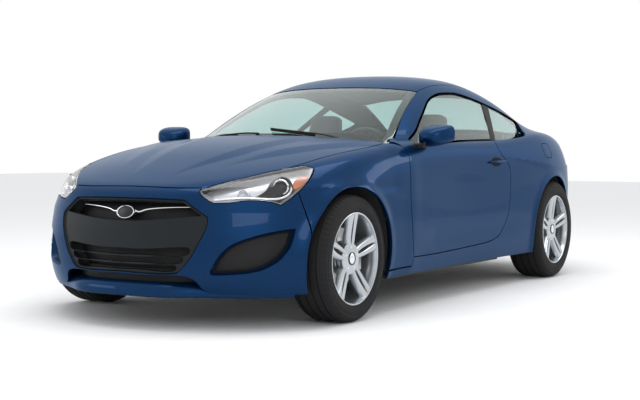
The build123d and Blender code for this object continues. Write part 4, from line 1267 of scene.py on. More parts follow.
class Lines:
    """Shut lines and edges of the left half of the body, each laid on the skin once."""

    SPLIT_X = 1840.0
    FENDER_FOOT_Z = 240.0
    TAIL_FOOT_Z = 215.0
    LID_HALF = 563.0
    FRONT_ARCH_R = 368.0
    REAR_ARCH_R = 377.0
    TAIL_X = -1860.0
    LAMP_TOP_Z = 925.0
    LAMP_LOW_Z = 790.0

    def __init__(self) -> None:
        """Lay every line."""
        low = Skin.LOWER
        self.hood_front = surface_line([(2172, 0), (2164, 290), (2128, 424)], TOP, low)
        self.hood_lamp = surface_line(
            [(2128, 424), (2040, 496), (1953, 563), (1860, 615), (1800, 648)], TOP, low)
        self.hood_fender = surface_line([(1800, 648), (1740, 672), (1684, 690), (1517, 718), (1310, 763),
                                         (1130, 788), (985, 792)], TOP, low)
        self.hood_rear = surface_line([(985, 792), (962, 700), (952, 500), (950, 0)], TOP, low)
        self.lamp_rear = nose_line([(1800, 648, 794), (1745, 697, 803), (1703, 727, 808), (1684, 752, 803),
                                    (1681, 773, 794)], 6)
        self.lamp_outer = nose_line([(1681, 773, 794), (1717, 784, 767), (1760, 787, 735), (1807, 787, 704),
                                     (self.SPLIT_X, 777, 679)], 8)
        self.lamp_foot = nose_line([(self.SPLIT_X, 777, 679), (1874, 765, 656), (1936, 736, 615)], 8)
        self.lamp_low = nose_line([(1936, 736, 615), (1974, 696, 633), (2042, 624, 640), (2104, 549, 631),
                                   (2147, 483, 627)], 8)
        self.lamp_inner = nose_line([(2147, 483, 627), (2160, 443, 647), (2163, 410, 676), (2152, 406, 692),
                                     (2128, 424, 702)], 6)
        foot = self.lamp_outer[-1]
        self.split = surface_line([(self.SPLIT_X, foot[2]), (self.SPLIT_X, 458)], SIDE, low)
        self.front_arch = land(SIDE, arc(FRONT_AXLE_X, FRONT_AXLE_Z, self.FRONT_ARCH_R, 20.4, 194.2), low)
        self.front_arch_nose = land(SIDE, arc(FRONT_AXLE_X, FRONT_AXLE_Z, self.FRONT_ARCH_R, 20.4, -24.9),
                                    low)
        self.door_front = surface_line(
            [(864, 886), (880, 740), (884, 620), (868, 480), (850, 375), (824, 292)], SIDE, low)
        self.door_low = surface_line([(824, 292), (500, 290), (-61, 304), (-323, 324), (-410, 350)], SIDE,
                                     low)
        self.door_rear = surface_line([(-410, 350), (-480, 410), (-528, 500), (-556, 645), (-545, 780),
                                       (-470, 845), (-420, 886), (-404, 921), (-430, 958)], SIDE, low)
        self.belt = surface_line([(-430, 958), (-76, 950), (246, 938), (551, 915), (819, 893), (864, 886)],
                                 SIDE, low)
        cabin = Skin.CABIN
        self.window_top = surface_line(
            [(712, 899), (655, 928), (562, 968), (472, 1010), (368, 1069), (262, 1124), (150, 1180),
             (62, 1215), (-60, 1246), (-168, 1260), (-290, 1266), (-397, 1265), (-644, 1230), (-911, 1178),
             (-1100, 1137), (-1196, 1113)], SIDE, cabin)
        self.window_rear = surface_line([(-1196, 1113), (-1226, 1100), (-1215, 1082)], SIDE, Skin.WHOLE, 6)
        self.window_low = surface_line([(-1215, 1082), (-1130, 1036), (-1000, 1000), (-800, 978),
                                        (-620, 968), (-430, 958)], SIDE, Skin.WHOLE)
        self.screen_side = surface_line(
            [(900, 776), (820, 735), (700, 697), (480, 630), (300, 586), (100, 541)], TOP, Skin.WHOLE)
        self.screen_top = surface_line([(100, 541), (150, 430), (190, 250), (205, 0)], TOP, cabin)
        self.screen_low = surface_line(
            [(900, 776), (905, 700), (925, 500), (935, 250), (938, 0)], TOP, Skin.WHOLE)
        self.glass_side = surface_line(
            [(876, 722), (790, 700), (640, 668), (480, 627), (300, 584), (100, 539)], TOP, cabin)
        self.glass_low = surface_line([(876, 722), (905, 640), (925, 500), (935, 250), (938, 0)], TOP, cabin)
        self.roof_side = surface_line([(100, 541), (-300, 528), (-700, 520), (-1046, 517)], TOP, cabin)
        self.roof_rear = surface_line([(-1046, 517), (-1062, 300), (-1066, 0)], TOP, cabin)
        self.back_side = surface_line(
            [(-1046, 517), (-1400, 560), (-1600, 578), (-1702, 566)], TOP, Skin.WHOLE)
        self.back_low = surface_line([(-1702, 566), (-1706, 300), (-1708, 0)], TOP, Skin.WHOLE)
        self.lid_side = surface_line([(-1712, self.LID_HALF), (self.TAIL_X, self.LID_HALF)], TOP, low)
        self.lid_corner = surface_line([(self.TAIL_X, self.LID_HALF), (-2150, self.LID_HALF)], TOP, low)
        self.lamp_top = self.level(self.LAMP_TOP_Z, self.LID_HALF, -1700)
        self.lamp_bottom = self.level(self.LAMP_LOW_Z, self.LID_HALF, -1700)
        self.lamp_front = surface_line(
            [(-1700, self.LAMP_TOP_Z), (-1672, 860), (-1700, self.LAMP_LOW_Z)], SIDE, low, 8)
        self.heel = surface_line([(838, self.FENDER_FOOT_Z), (824, 292)], SIDE, low)
        self.scuttle_end = surface_line([(864, 886), (884, 912)], SIDE, low)
        self.tail_edge = surface_line([(self.TAIL_X, 905), (self.TAIL_X, 925)], SIDE, low)
        heights = np.linspace(self.LAMP_LOW_Z, self.TAIL_FOOT_Z, 40)
        self.tail_upright = land(SIDE, as_points(self.TAIL_X, heights), low)
        v = np.linspace(self.lid_side[-1][1], self.tail_edge[-1][1], 24)
        self.tail_over = land(TOP, as_points(self.TAIL_X, v), low)

    def level(self, height: float, start_y: float, stop_x: float) -> Points:
        """Line at one height round the tail corner.

        Args:
            height: Its height.
            start_y: Distance from the middle plane where it starts.
            stop_x: Station on the side where it ends.

        Returns:
            Points from the back to the side.
        """
        first = land(REAR, np.array([[start_y, height]]), Skin.LOWER)
        last = land(SIDE, np.array([[stop_x, height]]), Skin.LOWER)
        ends = TAIL_ROUND.flatten(np.concatenate([first, last]))
        u = np.arange(ends[0, 0], ends[1, 0], math.copysign(10, ends[1, 0] - ends[0, 0]))
        u = np.append(u, ends[1, 0])
        return land(TAIL_ROUND, as_points(u, height), Skin.LOWER)


LINES = Lines()


def ribbon(lines: list[Points], width: float, depth: float, skin: Skin = Skin.LOWER) -> Mesher:
    """Dark strips that lie under shut gaps.

    Args:
        lines: Lines on the skin.
        width: Width of each strip.
        depth: How far under the skin it lies.
        skin: Skin whose normals it takes.

    Returns:
        The mesh of all strips.
    """
    out = Mesher()
    for line in lines:
        normal = FORM.normals(line, skin)
        along = np.gradient(line, axis=0)
        across = unit(np.cross(normal, along))
        middle = line - normal * depth
        verts = np.concatenate([middle + across * width / 2, middle - across * width / 2])
        out.add(verts, quads(2, len(line), closed=False), np.concatenate([normal, normal]))
    return out


@dataclass
class BodyPanels:
    """Painted panels of the body and the dark seals in their gaps."""

    finishes: Finishes
    panel_pitch: float = 13.0
    lid_wall: float = 22.0
    hood_clearance: float = 9.0
    sill_z: float = 195.0
    diffuser_rise: float = 95.0
    lid_foot_z: float = 776.0
    bumper_top_z: float = 773.0
    seal_width: float = 16.0
    seal_depth: float = 18.0
    roof_seal_depth: float = 8.0

    def build(self) -> None:
        """Build every painted panel."""
        self.fenders()
        self.body_sides()
        self.doors()
        self.hood()
        self.roof()
        self.trunk_lid()
        self.front_bumper()
        self.rear_bumper()
        self.tail_corners()
        self.seals()

    def fenders(self) -> None:
        """Front fenders, from lamp and bumper to the door."""
        foot = surface_line([(1138, LINES.FENDER_FOOT_Z), (838, LINES.FENDER_FOOT_Z)], SIDE, Skin.LOWER)
        loop = join(LINES.hood_fender, LINES.scuttle_end[::-1], LINES.door_front, LINES.heel[::-1],
                    foot[::-1], LINES.front_arch[::-1], LINES.split[::-1], LINES.lamp_outer[::-1],
                    LINES.lamp_rear[::-1])
        panel = Panel(slant(32), loop, Skin.LOWER, pitch=self.panel_pitch, short_behind=900.0)
        both(panel.mesh(), "fender_skin", SIDES, self.finishes.paint, "body_paint", "fender")

    def body_sides(self) -> None:
        """Body sides: windscreen pillar, roof rail, rear quarter and rocker in one piece."""
        low = Skin.LOWER
        lamp_top = np.array([p for p in LINES.lamp_top if p[0] > LINES.TAIL_X])
        lamp_bottom = np.array([p for p in LINES.lamp_bottom if p[0] > LINES.TAIL_X])
        tail_low = surface_line([(LINES.TAIL_X, LINES.TAIL_FOOT_Z), (-1690, LINES.TAIL_FOOT_Z)], SIDE, low)
        arch = land(SIDE, arc(REAR_AXLE_X, REAR_AXLE_Z, LINES.REAR_ARCH_R, 199, -22), low)
        rocker = surface_line([(-975, self.sill_z), (1133, self.sill_z), (1133, self.sill_z), (1138, 236),
                               (1138, 236), (838, LINES.FENDER_FOOT_Z)], SIDE, low)
        shoulder = surface_line([(712, 902), (760, 898), (819, 893), (864, 886)], SIDE, low)
        loop = join(LINES.screen_side, LINES.roof_side, LINES.back_side, LINES.lid_side, LINES.tail_over,
                    lamp_top, LINES.lamp_front, lamp_bottom[::-1], LINES.tail_upright, tail_low, arch,
                    rocker, LINES.heel, LINES.door_low, LINES.door_rear, LINES.window_low[::-1],
                    LINES.window_rear[::-1], LINES.window_top[::-1], shoulder, LINES.scuttle_end)
        panel = Panel(slant(33), loop, Skin.WHOLE, pitch=self.panel_pitch, gap=1.2, turn_in=14)
        both(panel.mesh(), "body_side_skin", SIDES, self.finishes.paint, "body_paint", "body_side")

    def doors(self) -> None:
        """Door skins."""
        loop = join(LINES.door_front, LINES.door_low, LINES.door_rear, LINES.belt)
        panel = Panel(slant(12), loop, Skin.LOWER, pitch=self.panel_pitch, turn_in=26)
        both(panel.mesh(), "door_skin", DOORS, self.finishes.paint, "body_paint", "door")

    def hood(self) -> None:
        """Bonnet."""
        rear = LINES.hood_rear.copy()
        rear[:, 0] += self.hood_clearance * (1 - (rear[:, 1] / rear[:, 1].max()) ** 4)
        half = join(LINES.hood_front, LINES.hood_lamp, LINES.hood_fender, rear)
        loop = doubled(half)
        panel = Panel(TOP, loop, Skin.LOWER, pitch=self.panel_pitch, wall=self.lid_wall)
        one(panel.mesh(), "hood_skin", self.finishes.paint, "body_paint", "hood", body="hood_body")

    def roof(self) -> None:
        """Roof panel."""
        half = join(LINES.screen_top[::-1], LINES.roof_side, LINES.roof_rear)
        panel = Panel(TOP, doubled(half), Skin.CABIN, pitch=self.panel_pitch, gap=0.8, turn_in=12)
        one(panel.mesh(), "roof_skin", self.finishes.paint, "body_paint", "roof")

    def trunk_lid(self) -> None:
        """Boot lid, over the top and down to the bumper."""
        top = surface_line([(-1712, 0), (-1710, 300), (-1712, LINES.LID_HALF)], TOP, Skin.LOWER)
        side = land(BACK_TOP, self.lid_side_flat(), Skin.LOWER)
        low = land(REAR, as_points(np.linspace(LINES.LID_HALF, 0, 50), self.lid_foot_z), Skin.LOWER)
        half = join(top, side, low)
        panel = Panel(BACK_TOP, doubled(half), Skin.LOWER, pitch=self.panel_pitch, wall=self.lid_wall)
        one(panel.mesh(), "trunk_lid_skin", self.finishes.paint, "body_paint", "trunk_lid",
            body="trunk_lid_body")

    def lid_side_flat(self) -> Points:
        """The lid's side line in the chart seen from above and behind.

        Returns:
            Flat points from the front to the foot.
        """
        first = surface_line([(-1712, LINES.LID_HALF), (-1716, LINES.LID_HALF)], TOP, Skin.LOWER)[0]
        last = land(REAR, np.array([[LINES.LID_HALF, self.lid_foot_z]]), Skin.LOWER)[0]
        ends = BACK_TOP.flatten(np.array([first, last]))
        v = np.linspace(ends[0, 1], ends[1, 1], 60)
        return as_points(LINES.LID_HALF, v)

    def front_bumper(self) -> None:
        """Front bumper with the holes of the grille and of the fog lamps' recesses."""
        low = Skin.LOWER
        chin = surface_line([(1832, 172), (1960, 172), (2060, 176)], SIDE, low)
        lip = nose_line([tuple(chin[-1]), (2118, 560, 180), (2168, 472, 188), (2196, 436, 214),
                         (2222, 404, 256), (2262, 200, 268), (2270, 0, 270)], 12)
        half = join(LINES.hood_front, LINES.hood_lamp[:1], LINES.lamp_inner[::-1], LINES.lamp_low[::-1],
                    LINES.lamp_foot[::-1], LINES.split, LINES.front_arch_nose, chin, lip)
        panel = Panel(NOSE_ROUND, doubled(half), low, pitch=self.panel_pitch, gap=1.6)
        panel.holes = [Grille.loop(), FogRecess.loop(), mirrored(FogRecess.loop())]
        one(panel.mesh(), "front_bumper_skin", self.finishes.paint, "body_paint", "front_bumper")

    def rear_bumper(self) -> None:
        """Rear bumper, round to the rear arches."""
        low = Skin.LOWER
        top = land(REAR, as_points(np.linspace(0, LINES.LID_HALF, 50), self.bumper_top_z), low)
        side_top = np.array([p for p in LINES.lamp_bottom if p[0] < LINES.TAIL_X])
        chin = TAIL_ROUND.flatten(LINES.tail_upright[-1:])
        u = np.linspace(chin[0, 0], 0.0, 90)
        rise = self.diffuser_rise * ease((820 - np.abs(u)) / 260)
        bottom = land(TAIL_ROUND, as_points(u, LINES.TAIL_FOOT_Z + rise), low)
        half = join(top, side_top, LINES.tail_upright, bottom)
        panel = Panel(TAIL_ROUND, doubled(half), low, pitch=self.panel_pitch, gap=1.6)
        one(panel.mesh(), "rear_bumper_skin", self.finishes.paint, "body_paint", "rear_bumper")

    def tail_corners(self) -> None:
        """Painted corners above the tail lamps."""
        low = Skin.LOWER
        ends = BACK_TOP.flatten(np.array([LINES.lid_side[-1], LINES.lamp_top[0]]))
        v = np.linspace(ends[0, 1], ends[1, 1], 40)
        side = land(BACK_TOP, as_points(LINES.LID_HALF, v), low)
        lamp_top = np.array([p for p in LINES.lamp_top if p[0] < LINES.TAIL_X])
        loop = join(side, lamp_top, LINES.tail_over[::-1])
        panel = Panel(facing((0.45, -0.62, -0.62)), loop, low, pitch=self.panel_pitch, gap=1.2)
        both(panel.mesh(), "tail_corner_skin", SIDES, self.finishes.paint, "body_paint", "tail_corner")

    def seals(self) -> None:
        """Dark strips behind the gaps, so that no light shows through them."""
        low = Skin.LOWER
        sides = [LINES.door_front, LINES.door_low, LINES.door_rear, LINES.hood_fender, LINES.hood_lamp,
                 LINES.split, LINES.lamp_rear, LINES.lamp_outer, LINES.lamp_foot, LINES.lamp_low,
                 LINES.lamp_inner, LINES.lid_side, LINES.lid_corner, LINES.lamp_top, LINES.lamp_bottom]
        both(ribbon(sides, self.seal_width, self.seal_depth, low), "gap_seal", SIDES, self.finishes.rubber,
             "black_plastic")
        middle = [LINES.hood_front, mirrored(LINES.hood_front), LINES.hood_rear, mirrored(LINES.hood_rear)]
        one(ribbon(middle, self.seal_width, self.seal_depth, low), "gap_seal_middle", self.finishes.rubber,
            "black_plastic")
        for name, line in (("roof_seal_front", LINES.screen_top), ("roof_seal_rear", LINES.roof_rear)):
            strip = ribbon([line, mirrored(line)], self.seal_width, self.roof_seal_depth, Skin.CABIN)
            one(strip, name, self.finishes.rubber, "black_plastic")
        strip = ribbon([LINES.screen_side, LINES.roof_side, LINES.back_side], self.seal_width,
                       self.roof_seal_depth, Skin.CABIN)
        both(strip, "roof_side_seal", SIDES, self.finishes.rubber, "black_plastic")


# ---------------------------------------------------------------- simple shapes
class Parts:
    """Collects simple shapes, in millimetres, into one object."""

    def __init__(self) -> None:
        """Start empty."""
        self.verts: list[Points] = []
        self.faces: list[tuple] = []
        self.count = 0

    def take(self, verts: Points, faces: list[tuple], matrix: Matrix | None = None) -> None:
        """Add a shape.

        Args:
            verts: N by 3 array.
            faces: Tuples of indices.
            matrix: Where to move it, if anywhere.
        """
        verts = np.asarray(verts, float)
        if matrix is not None:
            verts = moved(verts, matrix)
        self.verts.append(verts)
        self.faces += [tuple(int(i) + self.count for i in f) for f in faces]
        self.count += len(verts)

    def loft(self, rings: list[Points], closed: bool = True, caps: bool = True,
             matrix: Matrix | None = None, looped: bool = False) -> None:
        """Join rings of equal length with quads.

        Args:
            rings: Rings of points, each N by 3.
            closed: Whether each ring closes on itself.
            caps: Whether the first and last ring are filled.
            matrix: Where to move the result.
            looped: Whether the last ring joins the first.
        """
        n, rows = len(rings[0]), len(rings)
        faces = quads(rows, n, closed, looped)
        if caps and closed and not looped:
            faces.append(tuple(range(n - 1, -1, -1)))
            faces.append(tuple(range((rows - 1) * n, rows * n)))
        self.take(np.concatenate(rings), faces, matrix)

    def lathe(self, profile: list[tuple[float, float]], matrix: Matrix | None = None, segments: int = 64,
              closed: bool = False, wave: Points | None = None) -> None:
        """Turn a profile about the Y axis.

        Args:
            profile: (radius, place along Y) pairs.
            matrix: Where to move the result.
            segments: Steps round the axis.
            closed: Whether the profile joins its own start.
            wave: Change of radius for each profile point and segment.
        """
        angle = around(segments)
        rings = []
        for k, (radius, along) in enumerate(profile):
            r = radius + (wave[k] if wave is not None else 0)
            rings.append(as_points(r * np.cos(angle), along, r * np.sin(angle)))
        self.loft(rings, caps=False, matrix=matrix, looped=closed)

    def box(self, centre: tuple, size: tuple, bevel: float = 0.0, matrix: Matrix | None = None) -> None:
        """Add a box with rounded edges.

        Args:
            centre: Its middle.
            size: Its lengths along the axes.
            bevel: Radius of its edges.
            matrix: Where to move the result.
        """
        bm = bmesh.new()
        bmesh.ops.create_cube(bm, size=1.0)
        bmesh.ops.scale(bm, vec=size, verts=bm.verts)
        if bevel:
            bmesh.ops.bevel(bm, geom=list(bm.edges), offset=bevel, segments=3, profile=0.5, affect="EDGES")
        bm.verts.index_update()
        verts = np.array([tuple(v.co) for v in bm.verts]) + centre
        faces = [tuple(v.index for v in f.verts) for f in bm.faces]
        bm.free()
        self.take(verts, faces, matrix)

    def tube(self, line: Points, radius: float | Points, sides: int = 12, squash: float = 1.0) -> None:
        """Add a round bar along a line.

        Args:
            line: Its middle line.
            radius: Its radius, or one for each point.
            sides: Steps round it.
            squash: Height of the section over its width.
        """
        line = np.asarray(line, float)
        radii = np.broadcast_to(np.asarray(radius, float), len(line))
        along = unit(np.gradient(line, axis=0))
        up = np.array([0.0, 0.0, 1.0]) if abs(along[0][2]) < 0.9 else np.array([1.0, 0.0, 0.0])
        rings = []
        angle = around(sides)
        for p, t, r in zip(line, along, radii):
            side = unit(np.cross(t, up))
            up = np.cross(side, t)
            rings.append(p + r * (np.cos(angle)[:, None] * side + squash * np.sin(angle)[:, None] * up))
        self.loft(rings)

    def ball(self, centre: tuple, half: tuple, power: float = 1.0, rows: int = 20, cols: int = 36,
             matrix: Matrix | None = None) -> None:
        """Add a rounded block or ball.

        Args:
            centre: Its middle.
            half: Its half sizes.
            power: 1 is a ball and less is squarer.
            rows: Steps from pole to pole.
            cols: Steps round it.
            matrix: Where to move the result.
        """
        rings = []
        for v in np.linspace(-math.pi / 2 + 0.02, math.pi / 2 - 0.02, rows):
            x, y = blunt(around(cols), power)
            cv, sv = blunt(v, power)
            rings.append(as_points(x * cv, y * cv, sv) * half + centre)
        self.loft(rings, matrix=matrix)

    def build(self, name: str, mirror: bool = False, sharp: float = 38.0) -> bpy.types.Object:
        """Make the object.

        Args:
            name: Object name.
            mirror: Whether to build the right-hand twin.
            sharp: Edges bent by more degrees than this stay crisp.

        Returns:
            The linked object, in metres.
        """
        mesh = new_mesh(name, self.verts, self.faces, mirror)
        mesh.update()
        bm = bmesh.new()
        bm.from_mesh(mesh)
        bmesh.ops.recalc_face_normals(bm, faces=bm.faces)
        bm.to_mesh(mesh)
        bm.free()
        mesh.polygons.foreach_set("use_smooth", [True] * len(mesh.polygons))
        mesh.set_sharp_from_angle(angle=math.radians(sharp))
        return place_object(name, mesh)


def at(x: float, y: float, z: float, turn: Matrix | None = None) -> Matrix:
    """Matrix that turns a shape and then moves it, in millimetres."""
    place = Matrix.Translation((x, y, z))
    return place @ turn if turn is not None else place


def spin(degrees: float, axis: str) -> Matrix:
    """Turn about one axis."""
    return Matrix.Rotation(math.radians(degrees), 4, axis)


def aim(way: Points | tuple) -> Matrix:
    """Turn that brings the Y axis to a direction."""
    return Vector((0, 1, 0)).rotation_difference(Vector(way)).to_matrix().to_4x4()


def moved(points: Points, matrix: Matrix) -> Points:
    """Points carried along by a matrix."""
    m = np.array(matrix)
    return points @ m[:3, :3].T + m[:3, 3]


# ---------------------------------------------------------------- outside trim
@dataclass
class Mirrors:
    """Outside mirrors with painted shells, dark feet and glass."""

    finishes: Finishes
    centre: tuple[float, float, float] = (672.0, 938.0, 972.0)
    half: tuple[float, float, float] = (74.0, 99.0, 58.0)
    lean: float = -14.0

    def build(self) -> None:
        """Build both mirrors."""
        turn = spin(self.lean, "Z")
        shell = Parts()
        y0, z0 = blunt(around(44), 0.55)
        rings = []
        for t in np.linspace(0, 1, 18):
            grow = (1 - (1 - t) ** 2.6) ** (1 / 2.2)
            y = y0 * self.half[1] * max(grow, 0.03)
            z = z0 * self.half[2] * max(grow, 0.03)
            z = np.where(z < 0, z * (1 - 0.30 * y / self.half[1]), z) + 16 * (t - 0.6)
            rings.append(as_points(self.half[0] - 2 * self.half[0] * t, y, z))
        rim = rings[-1]
        rings.append(rim * (1, 0.93, 0.90) + (2, 0, 0))
        rings.append(rim * (0, 0.91, 0.88) + (-self.half[0] + 14, 0, 0))
        shell.loft(rings, matrix=at(*self.centre, turn))
        both(shell, "mirror_shell", DOORS, self.finishes.paint, "body_paint", "mirror")
        glass = Parts()
        face = rim * (0, 0.90, 0.87)
        glass.loft([face + (-self.half[0] + 9, 0, 0), face + (-self.half[0] + 13, 0, 0)],
                   matrix=at(*self.centre, turn))
        both(glass, "mirror_glass", DOORS, self.finishes.chrome, "window_glass")
        foot = Parts()
        foot.box((700, 868, 918), (70, 74, 26), 9)
        foot.box((705, 846, 905), (96, 30, 40), 9)
        foot.loft([np.array([(742, 902, 930), (650, 902, 930), (655, 870, 905), (738, 870, 905)], float),
                   np.array([(735, 930, 944), (662, 930, 944), (665, 900, 915), (732, 900, 915)], float)])
        both(foot, "mirror_foot", DOORS, self.finishes.black, "black_plastic")


@dataclass
class DoorHandles:
    """Pull handles over dark patches on the doors, painted shade of the hollows behind them."""

    finishes: Finishes
    front_x: float = -245.0
    rear_x: float = -455.0
    height: float = 818.0
    stand_off: float = 22.0

    def build(self) -> None:
        """Build both handles."""
        x = np.linspace(self.front_x, self.rear_x, 26)
        t = np.linspace(-1, 1, 26)
        z = self.height + (x - self.front_x) * -0.03
        y = land(SIDE, as_points(x, z), Skin.LOWER)[:, 1] + self.stand_off * (1 - np.abs(t) ** 4) + 2
        handle = Parts()
        handle.tube(as_points(x, y, z), 13.5 * (1 - np.abs(t) ** 6) ** 0.5 + 2.5, 16, 0.55)
        both(handle, "door_handle", DOORS, self.finishes.paint, "body_paint")
        loop = surface_line(
            [(self.front_x - 18, self.height + 2), (-300, self.height + 26), (-385, self.height + 27),
             (-432, self.height + 6), (-385, self.height - 22), (-300, self.height - 22),
             (self.front_x - 18, self.height + 2)], SIDE, Skin.LOWER, 7, closed=True)
        # painted shade: a dark sheet just over the skin stands in for the shaded hollow behind the handle
        hollow = Panel(SIDE, loop, Skin.LOWER, pitch=9.0, gap=0.0, lip=0.5, depth=-0.7, turn_in=1.2)
        both(hollow.mesh(), "handle_painted_shade", DOORS, self.finishes.rubber, "black_plastic")


@dataclass
class FuelFlap:
    """Fuel filler flap on the left rear quarter, shown by a dark line drawn on the skin, painted shade of the
    gap round it.
    """

    finishes: Finishes
    middle_x: float = -1222.0
    middle_z: float = 899.0
    half: float = 74.0
    tilt: float = 30.0
    seen_y: float = 900.0

    def build(self) -> None:
        """Build the dark line of painted shade along the gap."""
        u = np.linspace(0, 2 * math.pi, 73)
        x, z = blunt(u, 0.55)
        x = self.middle_x + self.half * x
        z = self.middle_z + 0.82 * self.half * z
        tilt = math.radians(self.tilt)
        v = z * math.cos(tilt) - self.seen_y * math.sin(tilt)
        line = land(slant(self.tilt), as_points(x, v), Skin.WHOLE)
        # painted shade: a dark strip laid just over the skin stands in for the shade in the flap's gap
        one(ribbon([line], 3.6, -0.5, Skin.WHOLE), "fuel_flap_gap_painted_shade", self.finishes.rubber, "black_plastic")


@dataclass
class Recess:
    """Hollow sunk into the skin: a wall of rings and a triangulated floor."""

    chart: Chart | RoundChart
    outline: Points
    steps: tuple[tuple[float, float], ...]
    pitch: float = 11.0
    floor: bool = True

    def mesh(self) -> Mesher:
        """Build the hollow; each step is an inset and a depth.

        Returns:
            The hollow's mesh.
        """
        flat = resample(self.chart.flatten(self.outline), 7.0)
        rings = [land(self.chart, inset(flat, amount), Skin.LOWER, depth) for amount, depth in self.steps]
        normals = [FORM.normals(ring, Skin.LOWER) for ring in rings]
        middle = rings[0].mean(axis=0)
        faces = quads(len(rings), len(flat))
        shade = []
        for ring, normal in zip(rings, normals):
            inward = middle - ring
            inward -= normal * np.sum(inward * normal, axis=1, keepdims=True)
            shade.append(unit(unit(inward) + 0.35 * normal))
        stack = np.concatenate(rings)
        a, b, c = (stack[np.array([f[k] for f in faces])] for k in (0, 1, 2))
        turned = np.median(np.sum(np.cross(b - a, c - a) * np.concatenate(shade)[[f[0] for f in faces]],
                                  axis=1)) < 0
        out = Mesher()
        out.add(stack, [tuple(reversed(f)) for f in faces] if turned else faces, np.concatenate(shade))
        if self.floor:
            last = Panel(self.chart, rings[-1], Skin.LOWER, gap=0.0, lip=0.4, turn_in=0.4, pitch=self.pitch,
                         depth=self.steps[-1][1])
            out.join(last.mesh())
        return out


# ---------------------------------------------------------------- lamps
@dataclass
class Headlamps:
    """Clear covers over silver housings with projectors, reflectors, a bright line and markers."""

    finishes: Finishes
    cover_wall: float = 3.0
    bowl_depth: float = 46.0
    projector_r: float = 37.0
    projector_way: tuple[float, float, float] = (0.93, 0.34, 0.06)
    projector_depth: float = 46.0
    high_way: tuple[float, float, float] = (0.95, 0.27, 0.12)
    high_depth: float = 40.0

    @staticmethod
    def loop() -> Points:
        """Edge of the left lamp on the skin."""
        return join(LINES.hood_lamp, LINES.lamp_rear, LINES.lamp_outer, LINES.lamp_foot, LINES.lamp_low,
                    LINES.lamp_inner)

    def build(self) -> None:
        """Build both lamps."""
        cover = Panel(NOSE_ROUND, self.loop(), Skin.LOWER, pitch=9.0, gap=1.6, wall=self.cover_wall)
        for obj in both(cover.mesh(), "headlamp_cover", SIDES, self.finishes.lens, "lamp_clear"):
            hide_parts("headlamps")
        bowl = Recess(
            NOSE_ROUND, self.loop(), ((2.5, 5.0), (5.0, 14.0), (10.0, 34.0), (15.0, self.bowl_depth)))
        both(bowl.mesh(), "headlamp_housing", SIDES, self.finishes.reflector, "lamp_clear")
        self.inner_parts()
        self.markers()

    @staticmethod
    def sunk(points: list[tuple], depth: float, pitch: float = 5.0) -> Points:
        """Curve through points in space, sunk under the nose's skin."""
        line = nose_line(points, pitch)
        return line - FORM.normals(line, Skin.LOWER) * depth

    def inner_parts(self) -> None:
        """Projector, high beam, dark bezels and the bright line."""
        eye = self.sunk([(1916, 712, 704), (1918, 711, 704)], 0.0)[0]
        way = np.array(self.projector_way)
        r = self.projector_r
        place = at(*(eye - way * self.projector_depth), aim(way))
        ring = Parts()
        ring.lathe([(r - 6, -14), (r - 6, 12), (r - 3, 16), (r + 1, 17), (r + 4, 14), (r + 5, 6),
                    (r + 5, -14)], place, 48)
        both(ring, "projector_ring", SIDES, self.finishes.chrome, "lamp_clear")
        lens = Parts()
        steps = [(r - 6.5) * math.sin(a) for a in np.linspace(0.02, 1.45, 10)]
        lens.lathe([(max(s, 0.2), 10 - 26 * (s / (r - 6)) ** 2) for s in steps], place, 40)
        both(lens, "projector_lens", SIDES, self.finishes.gloss_black, "lamp_clear")
        bezel = Parts()
        bezel.lathe([(r + 5, 4), (r + 12, 2), (r + 16, -8), (r + 17, -22)], place, 48)
        both(bezel, "projector_bezel", SIDES, self.finishes.gloss_black, "black_plastic")
        high = self.sunk([(2044, 590, 668), (2046, 589, 668)], self.high_depth)[0]
        place = at(*high, aim(self.high_way))
        bowl = Parts()
        bowl.lathe([(8, -24), (14, -22), (22, -16), (28, -7), (31, 4), (34, 6), (36, 3), (36, -10)], place,
                   44)
        bowl.ball((0, -16, 0), (7, 11, 7), rows=10, cols=16, matrix=place)
        both(bowl, "high_beam", SIDES, self.finishes.chrome, "lamp_clear")
        bar = Parts()
        bar.tube(self.sunk([(2120, 470, 643), (2082, 545, 652), (2032, 618, 655), (1975, 680, 650),
                            (1930, 727, 652), (1888, 752, 670), (1866, 758, 700), (1872, 748, 732),
                            (1894, 728, 752)], 14.0), 5.5, 10)
        both(bar, "headlamp_bright_line", SIDES, self.finishes.chrome, "lamp_clear")
        under = [(1940, 735, 619), (1876, 764, 659), (1852, 772, 684), (1862, 764, 722), (1894, 738, 742),
                 (1946, 700, 730), (1978, 682, 690), (2020, 640, 655), (2032, 632, 642), (1976, 696, 636),
                 (1940, 735, 619)]
        dark = Panel(NOSE_ROUND, nose_line(under, 6.0, closed=True), Skin.LOWER, gap=2.0, lip=2.0,
                     turn_in=18, pitch=8.0, depth=27.0)
        both(dark.mesh(), "headlamp_bezel", SIDES, self.finishes.gloss_black, "black_plastic")

    def markers(self) -> None:
        """Amber side markers."""
        amber = [(1852, 770, 690), (1792, 784, 719), (1742, 784, 752), (1742, 784, 752), (1796, 762, 752),
                 (1850, 752, 712), (1852, 770, 690)]
        panel = Panel(NOSE_ROUND, nose_line(amber, 5.0, closed=True), Skin.LOWER, gap=0.0, lip=1.0,
                      turn_in=20, pitch=7.0, depth=8.0)
        both(panel.mesh(), "side_marker", SIDES, self.finishes.amber, "lamp_clear")


